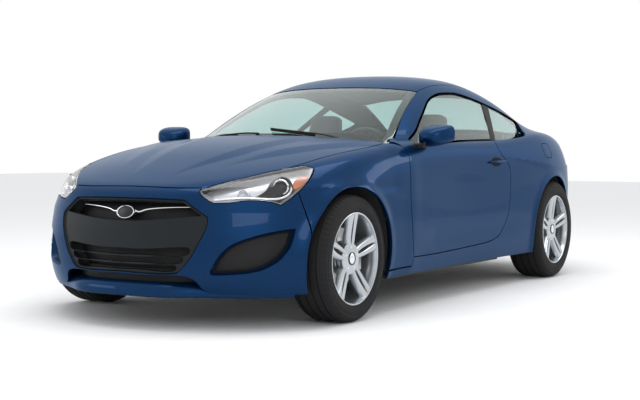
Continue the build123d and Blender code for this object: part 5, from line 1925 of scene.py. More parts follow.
@dataclass
class TailLamps:
    """Red lenses round the rear corners with lit rings behind them."""

    finishes: Finishes
    wall: float = 3.0
    depth: float = 42.0

    @staticmethod
    def loop() -> Points:
        """Edge of the left lamp on the skin.

        Returns:
            The closed edge.
        """
        heights = np.linspace(LINES.LAMP_LOW_Z, LINES.LAMP_TOP_Z, 14)
        back = land(REAR, as_points(LINES.LID_HALF, heights), Skin.LOWER)
        return join(LINES.lamp_top, LINES.lamp_front, LINES.lamp_bottom[::-1], back)

    def build(self) -> None:
        """Build both lamps."""
        lens = Panel(TAIL_ROUND, self.loop(), Skin.LOWER, pitch=9.0, gap=1.6, wall=self.wall)
        for obj in both(lens.mesh(), "tail_lamp_lens", SIDES, self.finishes.red_lens, "lamp_red"):
            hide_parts("tail_lamps")
        bowl = Recess(TAIL_ROUND, self.loop(), ((2.5, 5.0), (5.0, 14.0), (9.0, 30.0), (13.0, self.depth)))
        both(bowl.mesh(), "tail_lamp_housing", SIDES, self.finishes.reflector, "lamp_red")
        rings = Parts()
        for height, radius in ((858, 44), (858, 27)):
            centre = TAIL_ROUND.flatten(land(REAR, np.array([[668.0, height]]), Skin.LOWER))[0]
            angle = np.linspace(0, 2 * math.pi, 41)
            uv = centre + as_points(1.35 * radius * np.cos(angle), radius * np.sin(angle))
            line = land(TAIL_ROUND, uv, Skin.LOWER)
            rings.tube(line - FORM.normals(line, Skin.LOWER) * 16, 5.0, 10)
        both(rings, "tail_lamp_rings", SIDES, self.finishes.chrome, "lamp_red")


# ---------------------------------------------------------------- nose
@dataclass
class Grille:
    """Grille of the front bumper: bright wing, plain panel and three slats over a dark hollow."""

    finishes: Finishes
    face_depth: float = 9.0
    face_wall: float = 22.0
    badge_half: tuple[float, float] = (58.0, 34.0)
    badge_z: float = 584.0
    badge_depth: float = 45.0

    @staticmethod
    def loop() -> Points:
        """Edge of the grille on the bumper's skin."""
        half = surface_line(
            [(0, 646), (200, 645), (346, 640), (346, 640), (466, 558), (466, 558), (465, 509), (428, 420),
             (396, 361), (338, 292), (338, 292), (318, 283), (0, 281)], FRONT, Skin.LOWER)
        return doubled(half)

    @staticmethod
    def slot(low: float, high: float, half: float, rise: float) -> Points:
        """Edge of one slot, level in the middle and rising at its ends.

        Args:
            low: Height of its lower edge.
            high: Height of its upper edge.
            half: Half its width.
            rise: How far its ends rise.

        Returns:
            The closed edge.
        """
        points = [(0, high), (half * 0.5, high + rise * 0.25), (half - 6, high + rise),
                  (half, high + rise - 8), (half - 6, low + rise + 2), (half * 0.5, low + rise * 0.25),
                  (0, low)]
        line = surface_line(points, FRONT, Skin.LOWER, 9)
        return doubled(line)

    def build(self) -> None:
        """Build the grille."""
        hollow = Recess(NOSE_ROUND, self.loop(), ((0.5, 3.0), (1.0, 20.0), (4.0, 80.0)), 22.0)
        one(hollow.mesh(), "grille_hollow", self.finishes.black, "black_plastic", "grille")
        face = Panel(NOSE_ROUND, self.loop(), Skin.LOWER, depth=self.face_depth, pitch=12.0, gap=0.6,
                     lip=2.4, wall=self.face_wall)
        face.holes = [self.slot(292, 319, 322, 3), self.slot(328, 356, 358, 8),
                      self.slot(365, 396, 392, 12), self.upper_slot()]
        one(face.mesh(), "grille_face", self.finishes.grille_grey, "black_plastic")
        self.wing()
        self.badge()

    @staticmethod
    def upper_slot() -> Points:
        """Edge of the slot behind the wing."""
        line = surface_line([(0, 634), (200, 633), (338, 629), (338, 629), (436, 566), (436, 566),
                             (335, 556), (168, 540), (0, 533)], FRONT, Skin.LOWER, 9)
        return doubled(line)

    def wing(self) -> None:
        """Bright wing bar that runs from the badge to both ends."""
        flat = spline_path([(50, 584), (76, 576), (104, 584), (150, 593), (250, 601), (352, 604)], 8)
        line = land(FRONT, flat, Skin.LOWER, self.badge_depth)
        t = np.linspace(0, 1, len(line))
        bar = Parts()
        bar.tube(line, 6.5 - 3.2 * t ** 0.8, 12, 0.9)
        both(bar, "grille_wing", SIDES, self.finishes.chrome, "black_plastic")

    def badge(self) -> None:
        """Bare oval badge."""
        place = land(FRONT, np.array([[0.0, self.badge_z]]), Skin.LOWER)[0]
        a, b = self.badge_half
        slope = FORM.normals(np.array([place]), Skin.LOWER)[0]
        turn = aim(slope)
        stretch = Matrix.Diagonal((a, 1, b, 1))
        ring, plate = Parts(), Parts()
        spot = at(*(place - slope * (self.badge_depth - 6)), turn) @ self.square(turn) @ stretch
        ring.lathe([(1.0, -9), (1.0, 5), (0.97, 8), (0.90, 9), (0.85, 7), (0.83, 2), (0.83, -9)], spot, 64)
        one(ring, "badge_ring", self.finishes.chrome, "black_plastic")
        plate.lathe([(0.005, 4), (0.4, 3.8), (0.84, 2.4)], spot, 64)
        one(plate, "badge_plate", self.finishes.gloss_black, "black_plastic")

    @staticmethod
    def square(turn: Matrix) -> Matrix:
        """Turn about Y that lays the badge's long side level."""
        side = turn.to_3x3().inverted() @ Vector((0, 1, 0))
        return Matrix.Rotation(math.atan2(-side.z, side.x), 4, "Y")


@dataclass
class FogRecess:
    """Black recess in each side of the bumper, with a painted brow."""

    finishes: Finishes

    @staticmethod
    def loop() -> Points:
        """Edge of the left recess on the bumper's skin."""
        points = [(2180, 486, 292), (2171, 509, 341), (2154, 542, 390), (2127, 582, 427), (2089, 629, 451),
                  (2039, 682, 472), (1992, 724, 485), (1941, 763, 494), (1895, 794, 500), (1895, 794, 500),
                  (1908, 792, 460), (1922, 782, 415), (1943, 768, 380), (1969, 753, 351), (2006, 719, 320),
                  (2041, 684, 300), (2096, 619, 286), (2144, 550, 281), (2180, 486, 284), (2180, 486, 292)]
        return nose_line(points, 9.0, closed=True)

    def build(self) -> None:
        """Build both recesses."""
        brow = Recess(NOSE_ROUND, self.loop(), ((0.2, 1.6), (5.0, 12.0), (9.0, 30.0)), floor=False)
        both(brow.mesh(), "fog_recess_brow", SIDES, self.finishes.paint, "body_paint")
        deep = Recess(NOSE_ROUND, self.loop(), ((9.0, 28.0), (11.0, 36.0), (17.0, 46.0)))
        for obj in both(deep.mesh(), "fog_recess", SIDES, self.finishes.black, "black_plastic"):
            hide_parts("fog_panels")


@dataclass
class LowerLip:
    """Painted lip along the foot of the front bumper and the dark slot above it."""

    finishes: Finishes

    def build(self) -> None:
        """Build the lip and the slot."""
        plan = spline_path([(2313, 0), (2300, 150), (2262, 290), (2175, 420), (2045, 620), (1930, 735),
                            (1876, 778)], 14.0)
        ends = unit(np.gradient(plan, axis=0))
        out = as_points(ends[:, 1], -ends[:, 0])
        lip = Parts()
        rings = []
        section = [(0, 176), (0, 192), (-4, 206), (-12, 218), (-34, 236), (-60, 238), (-60, 176),
                   (-50, 166), (-10, 165), (-3, 168)]
        t = np.linspace(0, 1, len(plan))
        for p, o, s in zip(plan, out, t):
            o = o if o[0] > 0 else -o
            floor_y = 0.0 if s == 0 else -math.inf
            ring = [(p[0] + o[0] * d, max(p[1] + o[1] * d, floor_y), z - 8 * s) for d, z in section]
            rings.append(np.array(ring))
        whole = [ring * (1, -1, 1) for ring in rings[:0:-1]] + rings
        lip.loft(whole)
        one(lip, "front_lip", self.finishes.paint, "body_paint", sharp=50)
        slot = Parts()
        y = np.linspace(-560, 560, 61)
        x = np.interp(np.abs(y), plan[:, 1], plan[:, 0]) - 74
        slot.loft([as_points(x, y, z) for z in (176.0, 300.0)], closed=False, caps=False)
        one(slot, "lower_slot_backing", self.finishes.black, "black_plastic")
        tray = Parts()
        y = np.linspace(-780, 780, 61)
        x = np.interp(np.abs(y), plan[:, 1], plan[:, 0]) - 40
        tray.loft([as_points(x, y, 172.0), as_points(1840.0, y, 178.0)], closed=False, caps=False)
        one(tray, "nose_undertray", self.finishes.black, "black_plastic")


# ---------------------------------------------------------------- wheels
@dataclass
class WheelSize:
    """Measures of one wheel and its tyre."""

    end: str
    axle_x: float
    track_y: float
    radius: float
    half: float


@dataclass
class Wheel:
    """Alloy wheel with five pairs of spokes, and its grooved tyre."""

    finishes: Finishes
    size: WheelSize
    rim_r: float = 240.0
    pairs: int = 5
    nut_circle: float = 57.0
    block_depth: float = 4.5

    def build(self) -> None:
        """Build the left and right wheel."""
        s = self.size
        place = at(s.axle_x, s.track_y, s.radius)
        bodies = (f"wheel_{s.end}_left_body", f"wheel_{s.end}_right_body")
        both(self.rim(place), f"alloy_wheel_{s.end}", bodies, self.finishes.alloy, "wheel_alloy",
             f"wheel_{s.end}", sharp=32)
        both(self.tyre(place), f"road_tyre_{s.end}", bodies, self.finishes.tyre, "tyre_rubber",
             f"tyre_{s.end}", sharp=40)
        both(self.disc(place), f"brake_disc_{s.end}", bodies, self.finishes.steel, "chassis_steel")
        both(self.cap(place), f"wheel_cap_{s.end}", bodies, self.finishes.chrome, "wheel_alloy")
        dark = Parts()
        dark.lathe([(34, s.half - 19), (34, s.half - 13), (29, s.half - 13), (29, s.half - 19)], place, 40)
        for spot in self.nut_spots(place):
            dark.lathe([(14.5, s.half - 26), (14.5, s.half - 19.2), (9.5, s.half - 19.2),
                        (9.5, s.half - 26)], spot, 20)
        both(dark, f"wheel_sockets_{s.end}", bodies, self.finishes.gloss_black, "black_plastic")

    def nut_spots(self, place: Matrix) -> list[Matrix]:
        """Where the wheel nuts sit, one behind each pair of spokes."""
        angles = [math.radians(90 + 360 / self.pairs * k) for k in range(self.pairs)]
        return [place @ at(self.nut_circle * math.cos(a), 0, self.nut_circle * math.sin(a)) for a in angles]

    def rim(self, place: Matrix) -> Parts:
        """Barrel, lip, hub and spokes.

        Args:
            place: Where the wheel stands.

        Returns:
            The rim.
        """
        h, r = self.size.half, self.rim_r
        rim = Parts()
        rim.lathe([(r, h + 4), (r - 1, h + 7), (r - 5, h + 8), (r - 9, h + 5), (r - 11, h - 2),
                   (r - 15, h - 12), (r - 17, h - 30), (r - 19, -h), (r - 16, -h - 6), (r - 2, -h - 8),
                   (r, -h), (r - 12, -h + 14), (r - 13, h - 14), (r - 6, h - 4)], place, 96, closed=True)
        rim.lathe([(26, h - 16), (44, h - 17), (66, h - 18), (78, h - 20), (84, h - 26), (86, h - 40),
                   (80, h - 58), (26, h - 60)], place, 60, closed=True)
        for k in range(self.pairs):
            for side in (-1, 1):
                rim.loft(self.spoke(side), matrix=place @ spin(-360 / self.pairs * k, "Y"))
        return rim

    def spoke(self, side: int) -> list[Points]:
        """Sections of one spoke of the pair that points up.

        Args:
            side: Which spoke of the pair, -1 or 1.

        Returns:
            Loops from the hub to the rim.
        """
        h = self.size.half
        rings = []
        root, tip = 58, self.rim_r - 9
        for r in np.linspace(root, tip, 16):
            t = (r - root) / (tip - root)
            slot = 3.0 + 6.5 * math.sin(math.pi * min(1.0, t * 1.05)) ** 0.8
            width = 24 + 10 * t + 22 * max(0.0, t - 0.55) ** 1.4
            face = h - 19 + 22 * t ** 1.5
            thick = 40 - 18 * t
            a, b = slot, slot + width
            flat = [(a, -thick), (a, -5), (a + 3.5, -0.5), ((a + b) / 2 - 4, 1.2), ((a + b) / 2 + 5, 0.2),
                    (b - 4, -3.5), (b, -9), (b + 3, -thick)]
            rings.append(np.array([(side * u, face + v, r) for u, v in flat]))
        return rings

    def tyre(self, place: Matrix) -> Parts:
        """Tyre with grooved tread, shoulder blocks and ringed walls.

        Args:
            place: Where the wheel stands.

        Returns:
            The tyre.
        """
        s = self.size
        w, r, bead, top = s.half + 12.5, s.radius, self.rim_r - 8, s.radius
        wall = [(bead, s.half - 1), (bead + 9, s.half + 3), (bead + 14, w - 6), (bead + 22, w - 2.2),
                (bead + 24, w - 3.2), (bead + 30, w - 0.8), (r - 46, w), (r - 44, w - 1.2),
                (r - 34, w - 1.6), (r - 32, w - 0.6), (r - 22, w - 5)]
        shoulder = [(r - 12, w - 12), (r - 5.5, w - 22), (r - 2.6, w - 32)]
        grooves = []
        for y in (w * 0.60, w * 0.20, -w * 0.20, -w * 0.60):
            grooves += [(top - 0.6, y + 5), (top - 8, y + 3.4), (top - 8, y - 3.4), (top - 0.6, y - 5)]
        lower = [(p, -q) for p, q in reversed(wall + shoulder)]
        profile = wall + shoulder + grooves + lower
        segments = 280
        wave = np.zeros((len(profile), segments))
        cut = np.arange(segments) % 4 == 0
        for k in range(len(wall) - 1, len(wall) + 3):
            for row in (k, len(profile) - 1 - k):
                wave[row, cut] = -self.block_depth
        out = Parts()
        out.lathe(profile, place, segments, wave=wave)
        return out

    def disc(self, place: Matrix) -> Parts:
        """Vented brake disc with its hat.

        Args:
            place: Where the wheel stands.

        Returns:
            The disc.
        """
        out = Parts()
        out.lathe([(158, -17), (158, -8), (156, -7), (156, -1), (158, 0), (158, 9), (92, 9), (88, 12),
                   (84, 30), (78, 34), (40, 34), (40, -17)], place, 72, closed=True)
        return out

    def cap(self, place: Matrix) -> Parts:
        """Centre cap and wheel nuts.

        Args:
            place: Where the wheel stands.

        Returns:
            The cap and nuts.
        """
        h = self.size.half
        out = Parts()
        out.lathe([(0.4, h - 9), (12, h - 9.5), (22, h - 11), (27, h - 13.5), (28, h - 19)], place, 40)
        for spot in self.nut_spots(place):
            out.lathe([(0.4, h - 17), (5, h - 17.5), (8.5, h - 20), (9.3, h - 27)], spot, 6)
        return out


# ---------------------------------------------------------------- glass
@dataclass
class Glasshouse:
    """Windows with their dark borders, pillar covers and belt seals."""

    finishes: Finishes
    inset: float = 7.0
    wall: float = 4.0
    pillar_top_x: float = -705.0
    pillar_top_back_x: float = -800.0
    pillar_foot_x: float = -446.0
    pillar_foot_back_x: float = -520.0
    sunk_z: float = 935.0

    def build(self) -> None:
        """Build all windows."""
        self.big_window("windscreen_glass", "windscreen", self.screen_loop(), 46.0)
        self.big_window("rear_window_glass", "rear_window", self.back_loop(), 34.0)
        self.side_windows()
        self.belt_seals()
        self.cowl_cover()

    @staticmethod
    def screen_loop() -> Points:
        """Edge of the windscreen."""
        half = join(LINES.screen_top[::-1], LINES.glass_side[::-1], LINES.glass_low)
        return doubled(half)

    @staticmethod
    def back_loop() -> Points:
        """Edge of the rear window."""
        half = join(LINES.roof_rear[::-1], LINES.back_side, LINES.back_low)
        return doubled(half)

    def big_window(self, name: str, node: str, loop: Points, border: float) -> None:
        """Build a window across the car and its black printed border.

        Args:
            name: Piece name.
            node: Frame node it stands for.
            loop: Edge of the window.
            border: Width of the printed border.
        """
        pane = Panel(TOP, loop, Skin.CABIN, pitch=26.0, gap=1.0, lip=1.0, depth=3.0, wall=self.wall)
        one(pane.mesh(), name, self.finishes.glass, "window_glass", node)
        hole = inset(resample(TOP.flatten(loop), 14.0), border)
        hole = land(TOP, hole, Skin.CABIN)
        print_band = Panel(TOP, loop, Skin.CABIN, holes=[hole], pitch=18.0, gap=1.5, lip=0.8, depth=8.0,
                           turn_in=3)
        one(print_band.mesh(), name + "_border", self.finishes.gloss_black, "black_plastic")

    def side_windows(self) -> None:
        """Door and quarter windows, window seals and pillar covers."""
        cabin = Skin.CABIN
        top = LINES.window_top
        front_top = np.array([p for p in top if p[0] > self.pillar_top_x])
        rear_top = np.array([p for p in top if p[0] < self.pillar_top_x - 6])
        upper, foot = front_top[-1], (self.pillar_foot_x, self.sunk_z)
        pillar = surface_line([(upper[0], upper[2]), foot], SIDE, cabin)
        belt = surface_line([foot, (-76, 928), (246, 916), (551, 893), (700, 880)], SIDE, cabin)
        pane = Panel(slant(30), join(front_top, pillar, belt), cabin, pitch=24.0, gap=2.0, lip=1.0,
                     depth=self.inset, wall=self.wall)
        both(pane.mesh(), "door_window", DOORS, self.finishes.glass, "window_glass", "door_glass")
        back = surface_line([(-430, 944), (rear_top[0][0], rear_top[0][2])], SIDE, cabin)
        low = surface_line([(-1215, 1082), (-1130, 1034), (-1000, 996), (-800, 968), (-620, 952),
                            (-430, 944)], SIDE, cabin)
        pane = Panel(slant(30), join(rear_top, LINES.window_rear, low, back), cabin, pitch=24.0, gap=2.0,
                     lip=1.0, depth=self.inset, wall=self.wall)
        made = both(pane.mesh(), "quarter_window", SIDES, self.finishes.glass, "window_glass")
        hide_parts("quarter_glass")
        a, b = rear_top[0], next(p for p in rear_top if p[0] < self.pillar_top_back_x)
        run = np.array([p for p in rear_top if b[0] <= p[0]])
        cover_back = surface_line([(b[0], b[2]), (self.pillar_foot_back_x, 950)], SIDE, cabin)
        cover_low = surface_line([(self.pillar_foot_back_x, 950), (self.pillar_foot_x - 4, 944)], SIDE, cabin)
        cover_front = surface_line([(self.pillar_foot_x - 4, 944), (a[0], a[2])], SIDE, cabin)
        cover = Panel(slant(30), join(run, cover_back, cover_low, cover_front), cabin, pitch=20.0, gap=0.5,
                      lip=1.0, depth=4.0, turn_in=8)
        both(cover.mesh(), "pillar_cover", SIDES, self.finishes.black, "black_plastic")
        both(self.frame_seal(), "window_seal", SIDES, self.finishes.rubber, "black_plastic")

    @staticmethod
    def frame_seal() -> Mesher:
        """Rubber seal along the top of the side windows and the quarter window's foot.

        Returns:
            The seal's mesh.
        """
        out = Mesher()
        line = join(LINES.window_top, LINES.window_rear, LINES.window_low)
        chart = slant(30)
        flat = resample(chart.flatten(join(line, LINES.belt)), 9.0)
        rows = []
        for amount, depth in ((-1.0, 9.0), (1.0, 0.5), (4.0, -2.0), (9.0, -1.0), (13.0, 4.0), (13.5, 12.0)):
            rows.append(land(chart, inset(flat, amount), Skin.CABIN, depth))
        stack = np.stack(rows)
        x, z = stack[2][:, 0], stack[2][:, 2]
        belt_z = np.interp(x, [-430, -76, 246, 551, 819], [958, 950, 938, 915, 893])
        on_door = (np.abs(z - belt_z) < 26) & (x > -425)
        count = len(flat)
        normal = FORM.normals(stack[2], Skin.CABIN)
        faces = [f for f in quads(len(rows), count) if not (on_door[f[0] % count] or on_door[f[1] % count])]
        out.add(stack.reshape(-1, 3), faces, np.tile(normal, (len(rows), 1)))
        return out

    def belt_seals(self) -> None:
        """Seals between the top of each door and its window."""
        belt = LINES.belt[2:-2]
        outer = land(SIDE, as_points(belt[:, 0], belt[:, 2] - 3), Skin.LOWER, 2.0)
        inner = land(SIDE, as_points(belt[:, 0], belt[:, 2] + 6), Skin.CABIN, self.inset - 1)
        crown = outer * 0.45 + inner * 0.55 + (0, 0, 7)
        out = Mesher()
        n = len(belt)
        low = inner - (0, 0, 30)
        up = np.tile([0.0, 0.35, 0.94], (4 * n, 1))
        out.add(np.concatenate([outer, crown, inner, low]), quads(4, n, closed=False), up)
        both(out, "belt_seal", DOORS, self.finishes.rubber, "black_plastic")

    def cowl_cover(self) -> None:
        """Black cover between bonnet and windscreen."""
        half = join(LINES.hood_rear[::-1], LINES.screen_low[:1], LINES.screen_low)
        panel = Panel(TOP, doubled(half), Skin.LOWER, pitch=16.0, gap=1.0, depth=30.0, turn_in=3)
        one(panel.mesh(), "cowl_cover", self.finishes.black, "black_plastic")


# ---------------------------------------------------------------- cabin
def settle(obj: bpy.types.Object, voxel: float, cap: float, pinned_below: float) -> None:
    """Swell a pad with a cloth simulation, bound how far it moves and keep the result as its mesh.

    Args:
        obj: The pad, in metres.
        voxel: Size of the remeshed faces.
        cap: Farthest that a point may move.
        pinned_below: Height under which points stay put.
    """
    scene = bpy.context.scene
    remesh = obj.modifiers.new("remesh", "REMESH")
    remesh.mode, remesh.use_smooth_shade = "VOXEL", True
    remesh.voxel_size = voxel * 1.0
    keep_evaluated(obj)
    co = read_verts(obj.data)
    pins = obj.vertex_groups.new(name="pins")
    pins.add([int(i) for i in np.nonzero(co[:, 2] < pinned_below)[0]], 1.0, "REPLACE")
    cloth = obj.modifiers.new("cloth", "CLOTH")
    s = cloth.settings
    s.quality, s.mass, s.use_pressure, s.uniform_pressure_force = 4, 0.3, True, CLOTH_PRESSURE
    s.tension_stiffness = s.compression_stiffness = s.shear_stiffness = CLOTH_STIFFNESS
    s.bending_stiffness = CLOTH_BENDING
    s.effector_weights.gravity = 0.0
    s.vertex_group_mass = "pins"
    cloth.point_cache.frame_start, cloth.point_cache.frame_end = 1, CLOTH_FRAMES
    for step in range(1, CLOTH_FRAMES + 1):
        scene.frame_set(step)
    shape = obj.evaluated_get(bpy.context.evaluated_depsgraph_get())
    move = read_verts(shape.data) - co
    far = np.linalg.norm(move, axis=1, keepdims=True)
    co = co + move * np.minimum(1.0, cap / np.maximum(far, 1e-9))
    obj.modifiers.clear()
    scene.frame_set(1)
    obj.vertex_groups.clear()
    write_verts(obj.data, co)
    smooth = obj.modifiers.new("smooth", "SUBSURF")
    smooth.levels = smooth.render_levels = 1
    keep_evaluated(obj)


def read_verts(mesh: bpy.types.Mesh) -> Points:
    """Read the vertex places of a mesh.

    Args:
        mesh: The mesh.

    Returns:
        One row for each vertex.
    """
    co = np.empty(len(mesh.vertices) * 3)
    mesh.vertices.foreach_get("co", co)
    return co.reshape(-1, 3)


def write_verts(mesh: bpy.types.Mesh, co: Points) -> None:
    """Move the vertices of a mesh."""
    mesh.vertices.foreach_set("co", co.ravel())
    mesh.update()


def keep_evaluated(obj: bpy.types.Object) -> None:
    """Make the result of an object's modifiers its own mesh.

    Args:
        obj: The object.
    """
    shape = obj.evaluated_get(bpy.context.evaluated_depsgraph_get())
    mesh = bpy.data.meshes.new_from_object(shape)
    obj.modifiers.clear()
    old, obj.data = obj.data, mesh
    bpy.data.meshes.remove(old)
    mesh.polygons.foreach_set("use_smooth", [True] * len(mesh.polygons))


@dataclass
class Pad:
    """Upholstered pad: a crowned form with bolsters and sewn lines, lying along X from its root."""

    length: float
    half: float
    thick: float
    bolster: float = 34.0
    seam: float = 0.60
    channels: tuple[float, ...] = (0.22, 0.42, 0.62, 0.82)
    narrow: float = 0.0
    voxel: float = 0.012
    cap: float = 0.012
    seam_depth: float = 6.0
    channel_depth: float = 4.5
    thread: float = 4.5
    square: float = 0.42

    def form(self) -> Parts:
        """Closed form before it swells.

        Returns:
            The closed form.
        """
        rings = []
        y0, z0 = blunt(around(64), self.square)
        for t in np.linspace(0, 1, 40):
            end = max(0.0, 1 - abs(2 * t - 1) ** 9) ** 0.32
            half = self.half * (1 - self.narrow * t ** 1.5)
            side = np.exp(-((np.abs(y0) - 0.86) / 0.17) ** 2)
            rise = self.bolster * side * math.sin(math.pi * min(1.0, 0.12 + 0.95 * t)) ** 0.5
            z = self.thick / 2 + (self.thick / 2 - 4) * z0 * max(end, 0.12)
            dish = 5 * np.cos(np.clip(y0 / 0.6, -1, 1) * 1.57)
            z = z + np.where(z0 > 0, rise * z0 * end, 0) - np.where(z0 > 0, dish, 0)
            rings.append(as_points(self.length * t, y0 * (half - 4) * max(end, 0.5), z))
        form = Parts()
        form.loft(rings)
        return form

    def sew(self, obj: bpy.types.Object) -> None:
        """Press the sewn lines into the upper face, with the pad still in its own frame.

        Args:
            obj: The pad.
        """
        co = read_verts(obj.data) / MM
        no = np.empty(co.size)
        obj.data.vertex_normals.foreach_get("vector", no)
        no = no.reshape(-1, 3)
        along, across = co[:, 0] / self.length, np.abs(co[:, 1]) / self.half
        limit = self.seam * (1 - self.narrow * along)
        press = self.seam_depth * np.exp(-(((across - limit) * self.half) / self.thread) ** 2)
        for channel in self.channels:
            line = np.exp(-(((along - channel) * self.length) / self.thread) ** 2)
            press = np.maximum(press, self.channel_depth * line * (across < limit))
        press = press * (co[:, 2] > self.thick * 0.5) * (along > 0.03) * (along < 0.97)
        co = co - no * press[:, None]
        write_verts(obj.data, co * MM)

    def build(self, name: str, place: Matrix, material: bpy.types.Material) -> list[bpy.types.Object]:
        """Build the pad on the left and its twin on the right.

        Args:
            name: Name without its side.
            place: Where it goes, in millimetres.
            material: Its finish.

        Returns:
            Both pads.
        """
        obj = self.form().build(f"{name}_left")
        settle(obj, self.voxel, self.cap, self.thick * 0.16 * MM)
        self.sew(obj)
        matrix = Matrix.Scale(MM, 4) @ place @ Matrix.Scale(1 / MM, 4)
        obj.data.transform(matrix)
        mesh = obj.data.copy()
        mesh.transform(Matrix.Diagonal((1, -1, 1, 1)))
        mesh.flip_normals()
        twin = place_object(f"{name}_right", mesh)
        made = [put(piece, ROOT, material, slot="seat_cloth") for piece in (obj, twin)]
        log.info("built %s", name)
        return made


@dataclass
class Seats:
    """Front bucket seats and the rear bench."""

    finishes: Finishes
    seat_y: float = 400.0

    def build(self) -> None:
        """Build every seat."""
        leather = self.finishes.leather
        cushion = Pad(500.0, 232.0, 140.0, channels=(0.30, 0.50, 0.70))
        made = cushion.build("seat_cushion", at(-118, self.seat_y, 292, spin(-4, "Y")), leather)
        for piece, node in zip(made, ("seat_left", "seat_right")):
            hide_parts(node)
        back = Pad(600.0, 228.0, 112.0, 46.0, channels=(0.20, 0.35, 0.50, 0.65, 0.80), narrow=0.24)
        back.build("seat_back", at(-172, self.seat_y, 375, spin(-108, "Y")), leather)
        rest = Pad(170.0, 128.0, 92.0, 0.0, seam=2.0, channels=(), narrow=0.12, voxel=0.009, cap=0.008)
        rest.build("head_rest", at(-306, self.seat_y, 968, spin(-102, "Y")), leather)
        self.hardware()
        bench = Pad(480.0, 272.0, 135.0, 22.0, channels=(0.35, 0.6))
        bench.build("rear_cushion", at(-1070, 280, 370, spin(-3, "Y")), leather)
        upright = Pad(490.0, 272.0, 108.0, 26.0, channels=(0.3, 0.55, 0.78), narrow=0.10)
        pads = upright.build("rear_back", at(-985, 280, 425, spin(-108, "Y")), leather)
        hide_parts("rear_seat")

    def hardware(self) -> None:
        """Shells, rails and head-rest posts."""
        shell = Parts()
        shell.box((120, self.seat_y, 258), (430, 400, 60), 18)
        shell.box((-236, self.seat_y, 640), (26, 370, 520), 10)
        both(shell_lean(shell, self.seat_y), "seat_shell", SIDES, self.finishes.cabin, "cabin_plastic")
        rails = Parts()
        for dy in (-160, 160):
            rails.box((110, self.seat_y + dy, 208), (440, 34, 34), 5)
        for dy in (-46, 46):
            rails.tube([(-292, self.seat_y + dy, 900), (-304, self.seat_y + dy, 940),
                        (-318, self.seat_y + dy, 1000)], 6.5, 12)
        both(rails, "seat_rails", SIDES, self.finishes.steel, "chassis_steel")


def shell_lean(parts: Parts, seat_y: float) -> Parts:
    """Lean the back shell of a seat with its backrest.

    Args:
        parts: The shell, upright.
        seat_y: Crosswise place of the seat's middle.

    Returns:
        The leaning shell.
    """
    out = Parts()
    turn = at(-150, seat_y, 360) @ spin(-18, "Y") @ at(150, -seat_y, -360)
    base, back = parts.verts
    out.take(base, [f for f in parts.faces if max(f) < len(base)])
    out.take(back + (16, 0, 0), [tuple(i - len(base) for i in f) for f in parts.faces
                                 if min(f) >= len(base)], turn)
    return out


